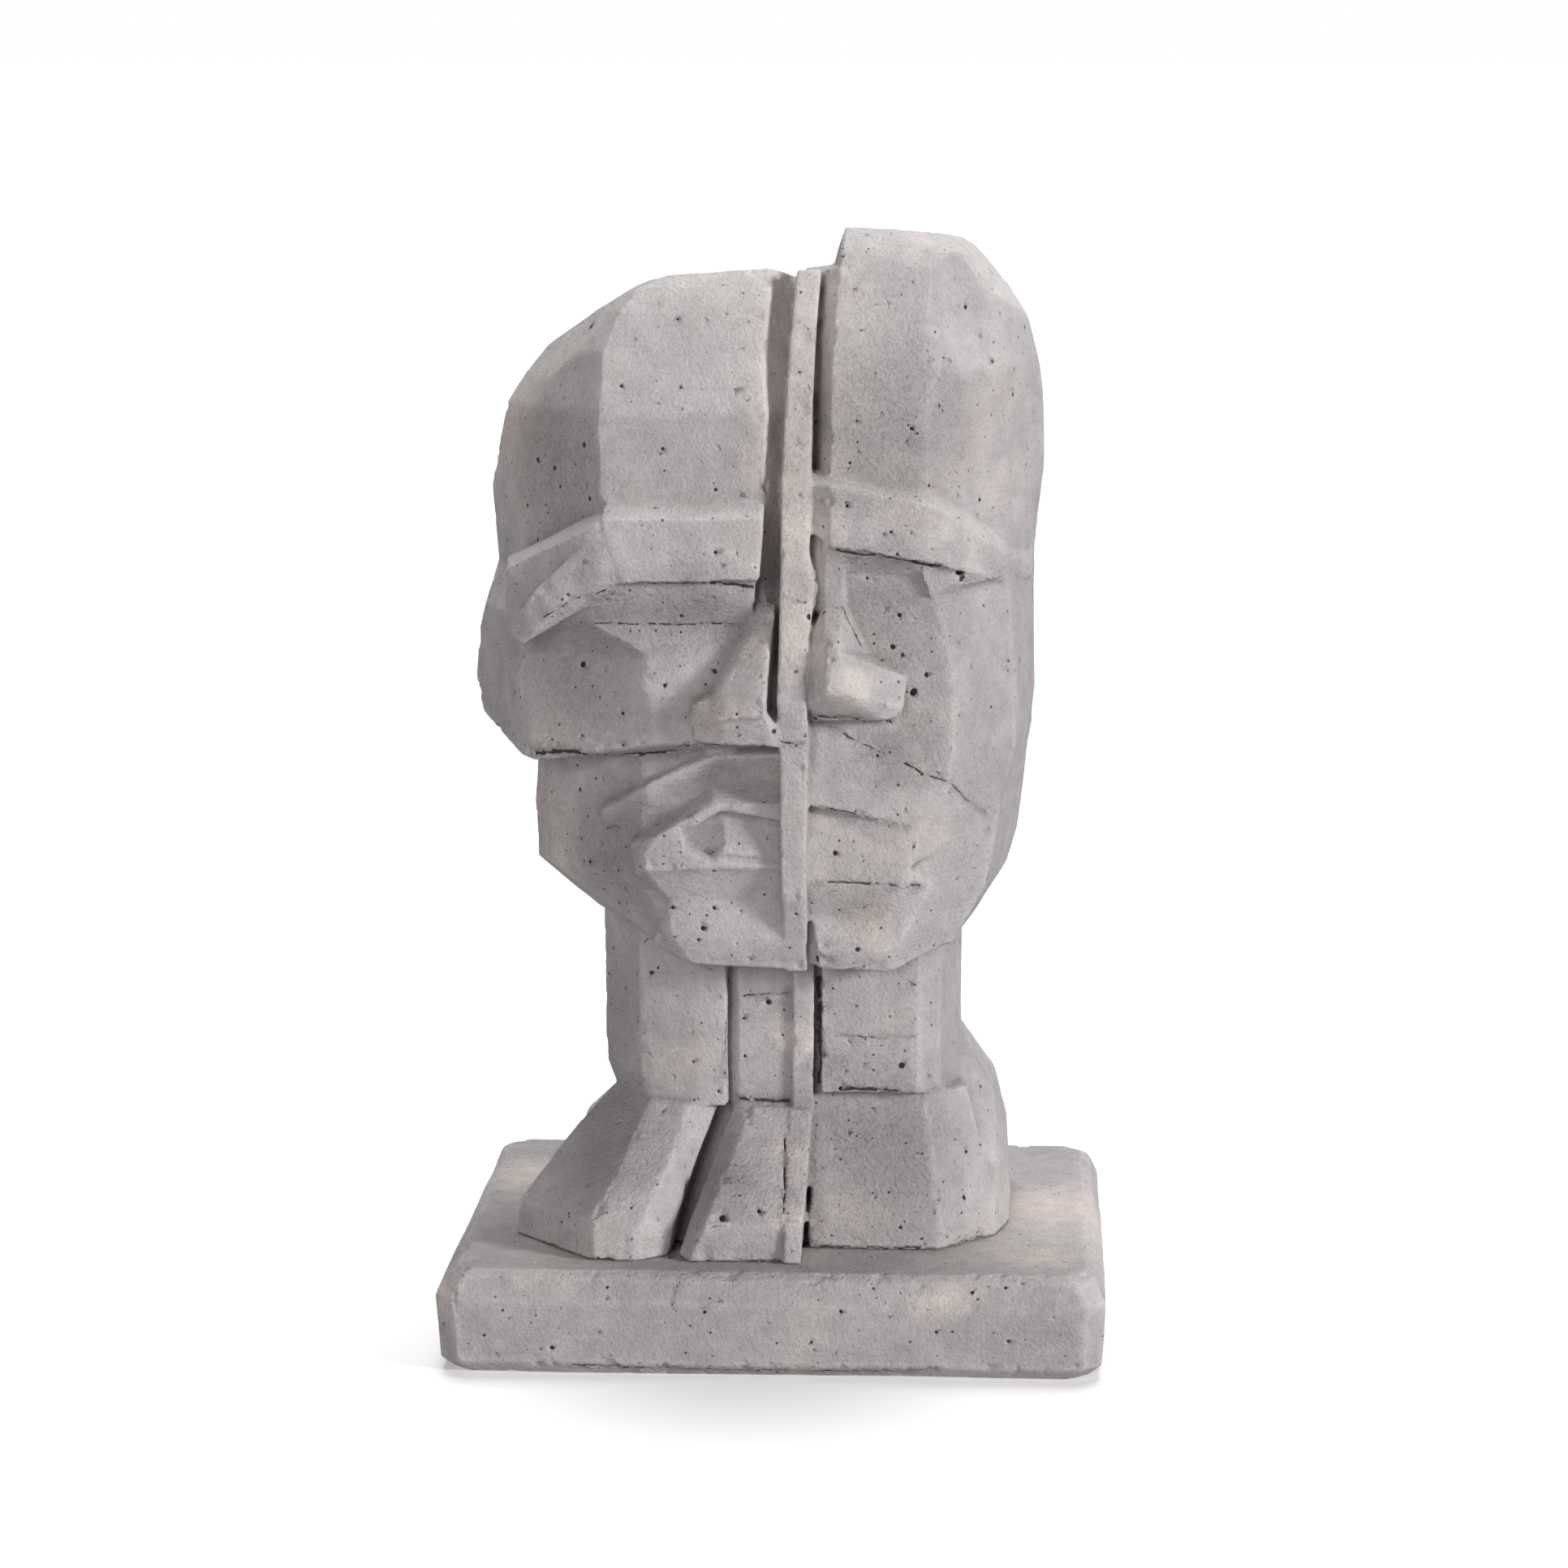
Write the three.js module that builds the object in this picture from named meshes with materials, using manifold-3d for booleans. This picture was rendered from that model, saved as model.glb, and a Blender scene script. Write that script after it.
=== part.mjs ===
// A faceted concrete head on a slab. The head is cast as one: a low half and a tall half with a
// thin upright fin between them, a neck of four upright blocks and shoulders of sloping ribs.
// Millimetres. X runs to the viewer's right, Y away from the viewer, Z up from the slab's underside.

import * as THREE from 'three';
import { ConvexGeometry } from 'three/addons/geometries/ConvexGeometry.js';
import { mergeVertices } from 'three/addons/utils/BufferGeometryUtils.js';
import Module from 'manifold-3d';

// Driving sizes of the slab
const SLAB_WIDTH = 210;
const SLAB_DEPTH = 180;
const SLAB_HEIGHT = 33;
const SLAB_CORNER = 6;

// The bedding joint between the slab and what stands on it
const JOINT = 0.3;
const FOOT = SLAB_HEIGHT + JOINT;

// Corners nearer to each other than this are one corner
const WELD = 1e-4;

// How much narrower a bar or a rib is at its root than at its face
const BAR_ROOT = 0.97;
const RIB_ROOT = 0.9;

// Inside the fin, where the inner faces of the two halves end, how deep the grooves beside it run,
// and how far it stands proud of the back
const SEAT = 8;
const GROOVE_DEPTH = 22;
const SHALLOW_GROOVE = 9;
const FIN_PROUD = 3;

// Where the low half's front blocks end inside the fin, and where the tall half's face begins
const LOW_EDGE = 3.4;
const TALL_EDGE = 12.2;

// How far back a facet runs for each millimetre outwards: round the temple, and on to the side
const FOREHEAD_TURN = 1.2;
const CHEEK_TURN = 0.45;
const TALL_TURN = 1.15;
const JAW_TURN = 0.72;
const LOW_JAW_TURN = 1;
const LOW_WRAP = 2.2;
const TALL_WRAP = 9;

// The flats that round off the back: their corners as shares of the side's x and of the reach, and
// of the drop at the back
const BACK_CORNERS = [
  { across: 0.95, deep: 0.48, fall: 0.3 },
  { across: 0.62, deep: 0.88, fall: 1 },
];

// The height of the chin, and the rounding of the skull behind
const CHIN = 125;
const CROWN_MIDDLE = 258;
const CROWN_HALF_HEIGHT = 98;
const SKULL_BACK = 84;
const CROWN_ROUNDING = 0.12;
const NAPE_BACK = 56;

// The neck and the shoulders
const NECK_BASE = 77.6;
const NECK_TOP = 150;
const NECK_BACK = 46;
const SHOULDER_BACK = 76;

const wasm = await Module();
wasm.setup();

// A closed geometry as a solid that can be joined and cut
function solid(geometry) {
  geometry.deleteAttribute('normal');
  geometry.deleteAttribute('uv');
  const merged = mergeVertices(geometry, WELD);
  return new wasm.Manifold(new wasm.Mesh({
    numProp: 3,
    vertProperties: new Float32Array(merged.attributes.position.array),
    triVerts: new Uint32Array(merged.index.array),
  }));
}

// A block with flat faces, as its corners
function block(...corners) {
  return solid(new ConvexGeometry(corners.map((corner) => new THREE.Vector3(...corner))));
}

function join(solids) {
  return solids.reduce((whole, next) => whole.add(next));
}

function cut(body, cutters) {
  return cutters.reduce((rest, cutter) => rest.subtract(cutter), body);
}

// A ring of corners laid flat, looking along the direction it faces most
function flatten(ring) {
  const facing = new THREE.Vector3();
  ring.forEach((corner, i) => {
    facing.add(new THREE.Vector3().crossVectors(corner, ring[(i + 1) % ring.length]));
  });
  const sizes = facing.toArray().map(Math.abs);
  const [u, v] = [['y', 'z'], ['z', 'x'], ['x', 'y']][sizes.indexOf(Math.max(...sizes))];
  return ring.map((corner) => new THREE.Vector2(corner[u], corner[v]));
}

// A solid through rings of corners, from its first end to its last. Each four-sided face is folded
// along the diagonal that leaves it bulging outwards.
function loft(sections) {
  const rings = sections.map((ring) => ring.map((corner) => new THREE.Vector3(...corner)));
  const count = rings[0].length;
  const triangles = [];
  for (let level = 0; level + 1 < rings.length; level += 1) {
    const both = [...rings[level], ...rings[level + 1]];
    const middle = both.reduce((sum, corner) => sum.clone().add(corner)).divideScalar(both.length);
    for (let i = 0; i < count; i += 1) {
      const a = rings[level][i];
      const b = rings[level][(i + 1) % count];
      const c = rings[level + 1][(i + 1) % count];
      const d = rings[level + 1][i];
      const face = new THREE.Plane().setFromCoplanarPoints(a, b, c);
      const inwards = Math.sign(face.distanceToPoint(middle));
      if (face.distanceToPoint(d) * inwards >= 0) triangles.push(a, b, c, a, c, d);
      else triangles.push(a, b, d, b, c, d);
    }
  }
  // The plan's turn settles which way round the end faces go
  const cap = (ring, last) => {
    const flat = flatten(ring);
    const turned = THREE.ShapeUtils.isClockWise(flat);
    for (const [i, j, k] of THREE.ShapeUtils.triangulateShape(turned ? flat.reverse() : flat, [])) {
      const corners = turned ? [...ring].reverse() : ring;
      if (turned === last) triangles.push(corners[i], corners[k], corners[j]);
      else triangles.push(corners[i], corners[j], corners[k]);
    }
  };
  cap(rings[0], false);
  cap(rings[rings.length - 1], true);
  const volume = (sum, corner, i) => (i % 3 ? sum
    : sum + corner.dot(new THREE.Vector3().crossVectors(triangles[i + 1], triangles[i + 2])));
  if (triangles.reduce(volume, 0) < 0) triangles.reverse();
  return solid(new THREE.BufferGeometry().setFromPoints(triangles));
}

// How far back the head reaches at a height: a rounded skull over a straight nape
function reach(z) {
  const rounding = 1 - ((z - CROWN_MIDDLE) / CROWN_HALF_HEIGHT) ** 2;
  const skull = SKULL_BACK * Math.sqrt(Math.max(rounding, CROWN_ROUNDING));
  return z < CROWN_MIDDLE ? Math.max(skull, NAPE_BACK) : skull;
}

// One level of a half of the head, seen from above. inner is the front face's edge beside the fin
// and arris its outer edge, each as x, y and, where the level isn't flat, a rise. From there one
// facet turns back to the temple and another wraps on to the side, both given as x and a rise. The
// back is rounded off in three flats, and the inner face slants back to its seat on the fin.
function ring({
  z, inner, arris, temple, side, turn, wrap,
  seat = SEAT, seatRise = 0, backRise = 0, groove = GROOVE_DEPTH,
}) {
  const corner = (x, y, rise = 0) => [x, y, z + rise];
  const outwards = (from, to) => Math.abs(to[0]) - Math.abs(from[0]);
  const templeY = arris[1] + turn * outwards(arris, temple);
  const sideY = Math.min(templeY + wrap * outwards(temple, side), 0);
  const [nearBack, farBack] = BACK_CORNERS.map(({ across, deep, fall }) => (
    corner(side[0] * across, reach(z) * deep, fall < 1 ? (side[1] ?? 0) + backRise * fall : backRise)
  ));
  return [
    corner(seat, inner[1] + groove, seatRise),
    corner(...inner),
    corner(...arris),
    corner(temple[0], templeY, temple[1]),
    corner(side[0], sideY, side[1]),
    nearBack,
    farBack,
    corner(seat, reach(z), backRise),
  ];
}

// A bar laid along the face, as its sections from one end to the other. top and bottom are the
// edges of its front face, and the bevel rises and runs back from the top edge.
function bar(sections, root, [rise, run] = [0, 1]) {
  return loft(sections.map(({ top, bottom }) => [
    bottom,
    top,
    [top[0], top[1] + run, top[2] + rise],
    [top[0] * BAR_ROOT, root, top[2] + rise],
    [bottom[0] * BAR_ROOT, root, bottom[2]],
  ]));
}

// A notch cut under a line on the face, square in at the line and sloping out below it. depths are
// those at the line's two ends.
function notch(from, to, depths, drop, clear = 12) {
  const section = ([x, y, z], deep) => [
    [x, y - clear, z],
    [x, y + deep, z],
    [x, y, z - drop],
    [x, y - clear, z - drop],
  ];
  return block(...section(from, depths[0]), ...section(to, depths[1]));
}

// The low half of the skull, from the break at the cheek to the crown
function lowSkull() {
  const cheek = [
    { z: 196.5, inner: [2, -64.6], arris: [-36, -64.6], temple: [-76, -8], side: [-81, -8],
      turn: 0.36 },
    { z: 205, inner: [1, -63.4], arris: [-38, -63.8], temple: [-80, -5], side: [-97, -7] },
    { z: 217, inner: [0, -64], arris: [-38.5, -64.4], temple: [-81, -3], side: [-99.6, -8] },
    { z: 224.2, inner: [-3, -63.2], arris: [-38.4, -63.6], temple: [-80.5], side: [-98.4],
      turn: 0.5 },
    { z: 234, inner: [-3, -61.4], arris: [-57.2, -61.4], temple: [-80.5], side: [-95.4],
      turn: 0.66 },
    { z: 247, inner: [-3, -56], arris: [-55, -56], temple: [-82], side: [-92.4],
      turn: FOREHEAD_TURN },
  ].map((station) => ({ turn: CHEEK_TURN, ...station }));
  const dome = [
    { z: 272, inner: [-2.5, -60], arris: [-53.5, -59], temple: [-82], side: [-94.2] },
    { z: 298, inner: [-2.6, -58.5], arris: [-54.8, -56.5], temple: [-77.7], side: [-88.7] },
    { z: 308, inner: [-3.6, -54.8], arris: [-53.8, -53], temple: [-72], side: [-82] },
    { z: 317, inner: [-4, -51.4], arris: [-54, -49.5], temple: [-61.5], side: [-74.5] },
    { z: 329, inner: [-3, -46.5], arris: [-49, -45], temple: [-52], side: [-57.5] },
    { z: 336, inner: [-2, -43], arris: [-43.5, -41.5], temple: [-44.5], side: [-46] },
    { z: 342, inner: [-1.4, -38, 0.5], arris: [-35, -36, -1.5], temple: [-35.5, -2],
      side: [-36, -3], seatRise: -4, backRise: -12 },
  ].map((station) => ({ turn: FOREHEAD_TURN, ...station }));
  return loft([...cheek, ...dome].map((station) => ring({ wrap: LOW_WRAP, ...station })));
}

// The low half's brow: a straight bar with a bevelled top that bends round the temple
function lowBrow() {
  const inner = { top: [-2.8, -68, 267.3], bottom: [-4.3, -68, 248.2] };
  const bend = { top: [-53, -68, 267], bottom: [-47, -68, 247] };
  const straight = bar([inner, bend], -40, [4.4, 8]);
  const ribbon = block(
    [-46, -67.4, 264], [-44, -67.4, 248], [-53, -67.3, 263.6], [-55.8, -67, 255.4],
    [-54.4, -67.6, 246.3], [-74, -63.6, 244.4], [-76.3, -62, 240.8], [-67.4, -65.6, 238.6],
    [-81.8, -56, 233], [-82.3, -54.4, 229.7], [-78.6, -60, 226.6], [-46, -45, 264],
    [-46, -45, 248], [-74, -38, 242], [-80, -38, 229.7], [-77, -38, 226.4], [-62, -45, 236],
  );
  const panel = block(
    [-50, -67.3, 266.4], [-50, -61, 269.6], [-56.5, -58.5, 267.2], [-55.2, -68.2, 264.8],
    [-55, -64.6, 255], [-75, -57.4, 243.4], [-83.9, -51, 250], [-85.6, -32, 251.2],
    [-85.2, -42, 238], [-83.6, -44, 230], [-60, -15, 262], [-84, -20, 247], [-84, -30, 230],
    [-62, -15, 236], [-46, -45, 250],
  );
  return join([straight, ribbon, panel]);
}

// The low half's closed eye: two bands that lean back under the brow, down to a slit
function lowLid() {
  const upper = bar([
    { top: [-5.6, -65.8, 249], bottom: [-5.6, -64.6, 241.3] },
    { top: [-56, -65.2, 247], bottom: [-56.6, -64, 240.7] },
    { top: [-80, -54, 231], bottom: [-79.6, -50.6, 228.4] },
  ], -20);
  const lower = bar([
    { top: [-6.2, -64.6, 241], bottom: [-6.2, -61.6, 234] },
    { top: [-56.6, -64, 240.4], bottom: [-57.6, -61.2, 234] },
    { top: [-79.6, -50.6, 228.4], bottom: [-80, -45.6, 225.6] },
  ], -20);
  return join([upper, lower]);
}

// The low half's side of the nose, with its nostril
function lowNose() {
  const ridge = block(
    [-5.4, -58, 241.5], [-3.1, -64, 238], [0.4, -64, 238], [-16.4, -73, 215], [-1.3, -78, 215.9],
    [-1.8, -79, 207.9], [-17, -75, 205.7], [-22, -58, 214], [-16, -58, 204], [0.2, -58, 240.5],
    [-1, -58, 204], [-1.6, -76, 206],
  );
  const nostril = block(
    [-15, -72.6, 213.6], [-19.8, -70.4, 213], [-25.1, -70, 210], [-24.7, -69.5, 203.5],
    [-16, -74.4, 205.2], [-27, -60, 210], [-27, -60, 200], [-20, -58, 214], [-10, -58, 204],
  );
  const base = block(
    [-24.2, -69, 204], [-16, -74, 206], [-2, -77.4, 208.4], [1.8, -74.6, 204], [-24.6, -68, 198.2],
    [1.8, -74.4, 197.4], [-16, -73, 197.8], [-24, -55, 198], [1.8, -55, 197], [-22, -55, 208],
    [1, -55, 208],
  );
  return join([ridge, nostril, base]);
}

// The low half of the jaw, narrower than the skull above the break
function lowJaw() {
  const stations = [
    { z: CHIN, inner: [2, -60], arris: [-26, -58], temple: [-56, 12], side: [-76, 24] },
    { z: 152, inner: [2, -60], arris: [-41, -59.5], temple: [-73], side: [-78.5] },
    { z: 170, inner: [2, -60], arris: [-41.5, -59], temple: [-74], side: [-79.8] },
    { z: 199, inner: [2, -58], arris: [-41, -58], temple: [-72], side: [-78, -4] },
  ].map((station) => ({ turn: LOW_JAW_TURN, wrap: LOW_WRAP, ...station }));
  return loft(stations.map(ring));
}

// The fold that runs from the low half's nose down round its mouth
function lowFold() {
  return bar([
    { top: [1.5, -62, 193], bottom: [1.5, -59, 188] },
    { top: [-18.7, -63, 192.5], bottom: [-18.7, -59.5, 187.5] },
    { top: [-39, -63, 183.5], bottom: [-39, -59, 174.5] },
    { top: [-55.3, -53, 172.8], bottom: [-54.3, -50, 166.5] },
  ], -40, [1.5, 3]);
}

// The low half's mouth: a proud block with a bevel round it, and the lips and the corner cut in
function lowMouth() {
  const upper = block(
    [LOW_EDGE, -60, 183], [-18.1, -60, 182.8], [-45.1, -60, 165.3], [-43.4, -60, 153.9],
    [LOW_EDGE, -67, 178.4], [-18.9, -67, 178.2], [-36.8, -66.5, 167.5], [-40.7, -66, 162.1],
    [-40.3, -66, 156.8], [-20, -67, 158], [LOW_EDGE, -67, 158],
    [LOW_EDGE, -50, 183], [-18, -50, 182.8], [-45, -45, 165.3], [-43.4, -45, 153.9],
    [LOW_EDGE, -50, 155],
  );
  const lower = block(
    [LOW_EDGE, -66.9, 160.4], [-19, -66.9, 160.4], [-40.2, -65.4, 157], [-43.2, -59.6, 154.2],
    [-41.2, -60.5, 153.2], [-32.4, -62, 146.5], [LOW_EDGE, -62, 146.4],
    [LOW_EDGE, -50, 160.4], [-42, -45, 157], [-41, -45, 153.2], [-32, -50, 146.5],
    [LOW_EDGE, -50, 146.4],
  );
  const upperLip = notch([-16.3, -67, 176.3], [3.2, -67, 173], [3.2, 3.6], 12.4);
  const lipCorner = block(
    [-27.2, -67.2, 169.4], [-27.9, -67.2, 164], [-17.7, -67.2, 159.4], [-16.3, -67.2, 176.3],
    [-27.2, -80, 169.4], [-27.9, -80, 164], [-17.7, -80, 159.4], [-16.3, -80, 176.3],
    [-26.6, -61.2, 165.4], [-19.5, -63.8, 161.8], [-16, -63.8, 176], [-15, -65.4, 166],
  );
  const parting = notch([-20, -67.3, 162.9], [3.2, -67.3, 160.9], [1.8, 1.8], 2.6);
  return cut(join([upper, lower]), [upperLip, lipCorner, parting]);
}

// The low half's chin, which closes up against the fin
function lowChin() {
  return block(
    [LOW_EDGE, -62.6, 146.4], [-32.4, -62, 146.5], [-32.8, -62, 141], [-32.1, -61.6, 135.5],
    [-38.6, -54, 131.6], [-26.1, -59.6, 125.6], [LOW_EDGE, -64, 134], [LOW_EDGE, -61.6, CHIN],
    [LOW_EDGE, -45, 146.4], [-32, -45, 146.4], [-36, -42, 133], [-26, -45, 125.4],
    [LOW_EDGE, -45, CHIN],
  );
}

// The tall half, from the chin to the crown, which stands clear of the fin
function tallSkull() {
  const jaw = [
    { z: CHIN + 1, inner: [14.6, -62], arris: [37, -60, -1], temple: [56, 5], side: [59.6, 6] },
    { z: 141, inner: [12.8, -61], arris: [40, -60], temple: [62], side: [67.7] },
    { z: 149, inner: [TALL_EDGE, -62], arris: [43, -60], temple: [66], side: [72.8] },
    { z: 160, inner: [TALL_EDGE, -62], arris: [46, -60], temple: [68], side: [76] },
  ].map((station) => ({ turn: JAW_TURN, groove: SHALLOW_GROOVE, ...station }));
  const cheek = [
    { z: 176, inner: [12.4, -61], arris: [51, -59.6], temple: [71], side: [77.8] },
    { z: 186, inner: [12.6, -60.6], arris: [54, -60.4], temple: [73.8], side: [78.8] },
    { z: 194, inner: [12.6, -60], arris: [55.5, -61], temple: [75.5], side: [80.4] },
    { z: 208, inner: [12.8, -58.8], arris: [56, -61.6], temple: [75.5], side: [81.3] },
    { z: 226, inner: [13.4, -57.8], arris: [54.3, -61.6], temple: [74], side: [80.7] },
    { z: 241, inner: [13.4, -58], arris: [50.8, -61.6], temple: [73], side: [80.6] },
    { z: 252, inner: [13.4, -60.6], arris: [48, -62], temple: [72], side: [81] },
  ].map((station) => ({ turn: TALL_TURN, groove: SHALLOW_GROOVE, ...station }));
  const dome = [
    { z: 280, inner: [17, -60], arris: [46.8, -59], temple: [72], side: [83.8] },
    { z: 303, inner: [17.6, -57], arris: [47.3, -56], temple: [72], side: [82.8] },
    { z: 311, inner: [17.7, -55.5], arris: [49.4, -54.5], temple: [71], side: [81.8] },
    { z: 326, inner: [18.2, -50.5], arris: [47, -50], temple: [68], side: [78.2] },
    { z: 336, inner: [18.9, -47.2], arris: [47.2, -46.7], temple: [64], side: [71.5],
      backRise: -2 },
    { z: 342, inner: [19.5, -45], arris: [47.8, -44.4], temple: [60.2], side: [66.4],
      backRise: -5 },
    { z: 343, inner: [19.6, -44.7], arris: [48, -44], temple: [59.5], side: [65.6],
      seat: 17.4, backRise: -5.4 },
    { z: 348, inner: [20, -42.5], arris: [50, -41], temple: [56.5], side: [61],
      seat: 18.6, backRise: -9 },
    { z: 354, inner: [21.3, -36, 1], arris: [38, -33, 0.6], temple: [50, -1],
      side: [57, -3.5], seat: 20.8, backRise: -14 },
  ].map((station) => ({ turn: TALL_TURN, ...station }));
  return loft([...jaw, ...cheek, ...dome].map((station) => ring({ wrap: TALL_WRAP, ...station })));
}

// The tall half's brow, which falls away round the temple
function tallBrow() {
  return bar([
    { top: [12.8, -63, 277.6], bottom: [12.8, -64, 262] },
    { top: [18, -66.4, 277.4], bottom: [18, -67.6, 258.5] },
    { top: [47, -66, 272], bottom: [47, -67.2, 254] },
    { top: [54, -63.4, 268.6], bottom: [54, -64, 252] },
    { top: [62, -55, 262], bottom: [62, -55.4, 249.4] },
    { top: [72, -38, 254], bottom: [72, -36, 246.2] },
    { top: [80.2, -12, 247.6], bottom: [80.2, -10, 243] },
  ], 6, [3.6, 8]);
}

// The tall half's lid: a face that leans back under the brow, and a wedge at its outer end
function tallLid() {
  const under = bar([
    { top: [15, -66.6, 259], bottom: [16, -61.4, 251] },
    { top: [47, -66.2, 255], bottom: [47, -62.4, 249.4] },
    { top: [56, -61, 252], bottom: [56, -56.6, 248.4] },
  ], -30);
  const wedge = block(
    [46, -64.2, 250.4], [48.4, -63.4, 243], [70, -42, 247], [60, -56, 249],
    [46, -50, 250.4], [48, -50, 243], [69, -30, 246],
  );
  return join([under, wedge]);
}

// The tall half's side of the nose: a narrow bridge, then a broad tip with one wing
function tallNose() {
  const bridge = block(
    [11.6, -58, 264], [16.5, -62.6, 262], [21, -62.6, 262], [11.6, -61, 238], [16, -64, 240],
    [22.5, -63, 240], [11.6, -50, 264], [24, -50, 262], [11.6, -50, 236], [25, -50, 238],
  );
  const slope = block(
    [15.9, -65, 240.4], [21.6, -65, 240.4], [16.5, -76, 228.3], [20.3, -77, 228.5],
    [10.6, -69, 229], [26.5, -62, 230.5], [29, -61, 225.5], [14.6, -50, 241], [24, -50, 241],
    [11, -50, 225], [30, -50, 225], [24.2, -79, 214.7], [17.2, -80.5, 215],
  );
  const tip = block(
    [16.5, -75.6, 228], [20.3, -76.6, 228.2], [17.2, -80.2, 214.6], [24.2, -78.7, 214.3],
    [10.8, -70, 228], [12.4, -74, 211], [29, -61, 225], [41.4, -63.4, 218], [40.6, -67.4, 209],
    [24.6, -75, 212.4], [13.6, -73, 209.4], [39.4, -66, 205.6], [34.4, -68.6, 205],
    [12.7, -69, 204.6],
    [11, -50, 226], [11, -50, 206], [40, -50, 216], [38, -50, 205],
  );
  return join([bridge, slope, tip]);
}

// The tall half's upper lip, a flat between the nose and the slanting seam
function tallLip() {
  return block(
    [TALL_EDGE, -64.6, 206.5], [32, -64.2, 207], [42, -60.2, 207], [48, -60.2, 196], [48, -61.8, 188.2],
    [27, -63, 196.6], [TALL_EDGE, -63, 203], [TALL_EDGE, -50, 206.5], [42, -50, 207], [48, -50, 190],
    [27, -50, 196], [TALL_EDGE, -50, 202],
  );
}

// The tall half's mouth block: an arrow that points out to the jaw, under a slanting seam
function tallMouth() {
  const arrow = block(
    [TALL_EDGE, -64, 204.6], [27, -64.2, 197.3], [46.8, -63, 188.2], [55, -59.6, 184.6],
    [60, -52.4, 178],
    [66.3, -43, 172.5], [59.8, -52.4, 172.4], [51, -57.8, 162], [42.1, -64.6, 158.1],
    [TALL_EDGE, -67, 160], [TALL_EDGE, -66.6, 178], [TALL_EDGE, -50, 204.6],
    [27, -50, 197.3], [55, -46, 184],
    [62, -38, 173], [42, -50, 160], [TALL_EDGE, -50, 160],
  );
  const lowerLip = block(
    [TALL_EDGE, -67, 160], [42.1, -64.8, 158.3], [42, -64.4, 153.6], [TALL_EDGE, -67, 153.4],
    [49.6, -57.2, 151.8], [36.4, -61.4, 141.8], [TALL_EDGE, -61.5, 141.3],
    [TALL_EDGE, -50, 160], [48, -47, 154], [48, -47, 151], [TALL_EDGE, -50, 141.3], [36, -50, 142],
  );
  const mouth = notch([11, -66.8, 178], [48, -65, 169.6], [4.4, 0.2], 12);
  return join([arrow.subtract(mouth), lowerLip]);
}

// The tall half's chin
function tallChin() {
  return block(
    [TALL_EDGE, -62, 141.3], [37.5, -61.5, 142.5], [48.6, -57.4, 150.6], [13.8, -65, 132],
    [38, -63.5, 132],
    [14.8, -62.5, CHIN + 0.4], [37.5, -61.5, CHIN - 0.6], [58, -38, 132],
    [TALL_EDGE, -45, 141.3], [46, -40, 151], [14.8, -45, CHIN + 0.4], [37.5, -45, CHIN - 0.6],
  );
}

// The fin: a thin slab whose front edge follows the profile of a face, from crown to chin
function fin() {
  const profile = [
    { z: 124, x: [4.3, 10.7], front: -61 },
    { z: 140, x: [3.2, 10.6], front: -66 },
    { z: 150, x: [2.8, 10.6], front: -69.6 },
    { z: 186, x: [2.6, 11], front: -71.4 },
    { z: 203, x: [2.4, 11.4], front: -74 },
    { z: 212, x: [2, 10.8], front: -76 },
    { z: 230, x: [2.2, 11], front: -72 },
    { z: 246, x: [2.3, 13], front: -68 },
    { z: 256, x: [2.4, 11.2], front: -66.5 },
    { z: 277, x: [2.6, 11.6], front: -63 },
    { z: 301, x: [3.6, 11.9], front: -59 },
    { z: 326, x: [5, 12.6], front: -51 },
    { z: 342.8, x: [6.4, 13.8], front: -44, backRise: -11 },
  ];
  return loft(profile.map(({ z, x: [left, right], front, backRise = 0 }) => [
    [left, front, z],
    [right, front, z],
    [right, reach(z) + FIN_PROUD, z + backRise],
    [left, reach(z) + FIN_PROUD, z + backRise],
  ]));
}

// An upright block of the neck: its plan from front left round to the back, and its two heights
function neckBlock(plan, bottom = NECK_BASE, top = NECK_TOP) {
  return block(...plan.flatMap(([x, y]) => [[x, y, bottom], [x, y, top]]));
}

function neck() {
  const left = loft([
    [[-53.5, -18], [-40, -44], [-24, -49], [-15.6, -49], [-12, 20], [-30, NECK_BACK], [-50, 22]]
      .map(([x, y]) => [x, y, NECK_BASE]),
    [[-56.9, -18], [-43.3, -44], [-24, -49], [-15.6, -49], [-12, 20], [-32, NECK_BACK], [-54, 22]]
      .map(([x, y]) => [x, y, NECK_BASE + 9]),
    [[-57.5, -18], [-43.6, -44], [-24, -49], [-15.6, -49], [-12, 20], [-32, NECK_BACK], [-55, 22]]
      .map(([x, y]) => [x, y, NECK_TOP]),
  ]);
  const core = neckBlock([[-16, -36], [16, -36], [40, 20], [20, NECK_BACK], [-30, NECK_BACK]]);
  const middle = neckBlock([[-14.6, -42], [-12, -46], [6, -46], [6, -30], [-14.6, -30]], NECK_BASE - 3);
  const strip = neckBlock([[5.4, -48], [12, -48], [12, -30], [5.4, -30]], NECK_BASE - 6);
  const gap = neckBlock([[11, -43], [16, -43], [16, -30], [11, -30]], NECK_BASE - 6);
  const right = neckBlock([
    [14.6, -49], [45.4, -49], [52.2, -42], [58.5, -15], [56, 22], [36, NECK_BACK], [14.6, 0],
  ], NECK_BASE + 4.6);
  return join([left, core, middle, strip, gap, right]);
}

// A shoulder rib: its sections from the neck down to the foot, each the corners of its front face
function rib(sections, root) {
  return loft(sections.map((section) => [
    ...section,
    ...section.map(([x, , z]) => [x * RIB_ROOT, root, z]).reverse(),
  ]));
}

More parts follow.
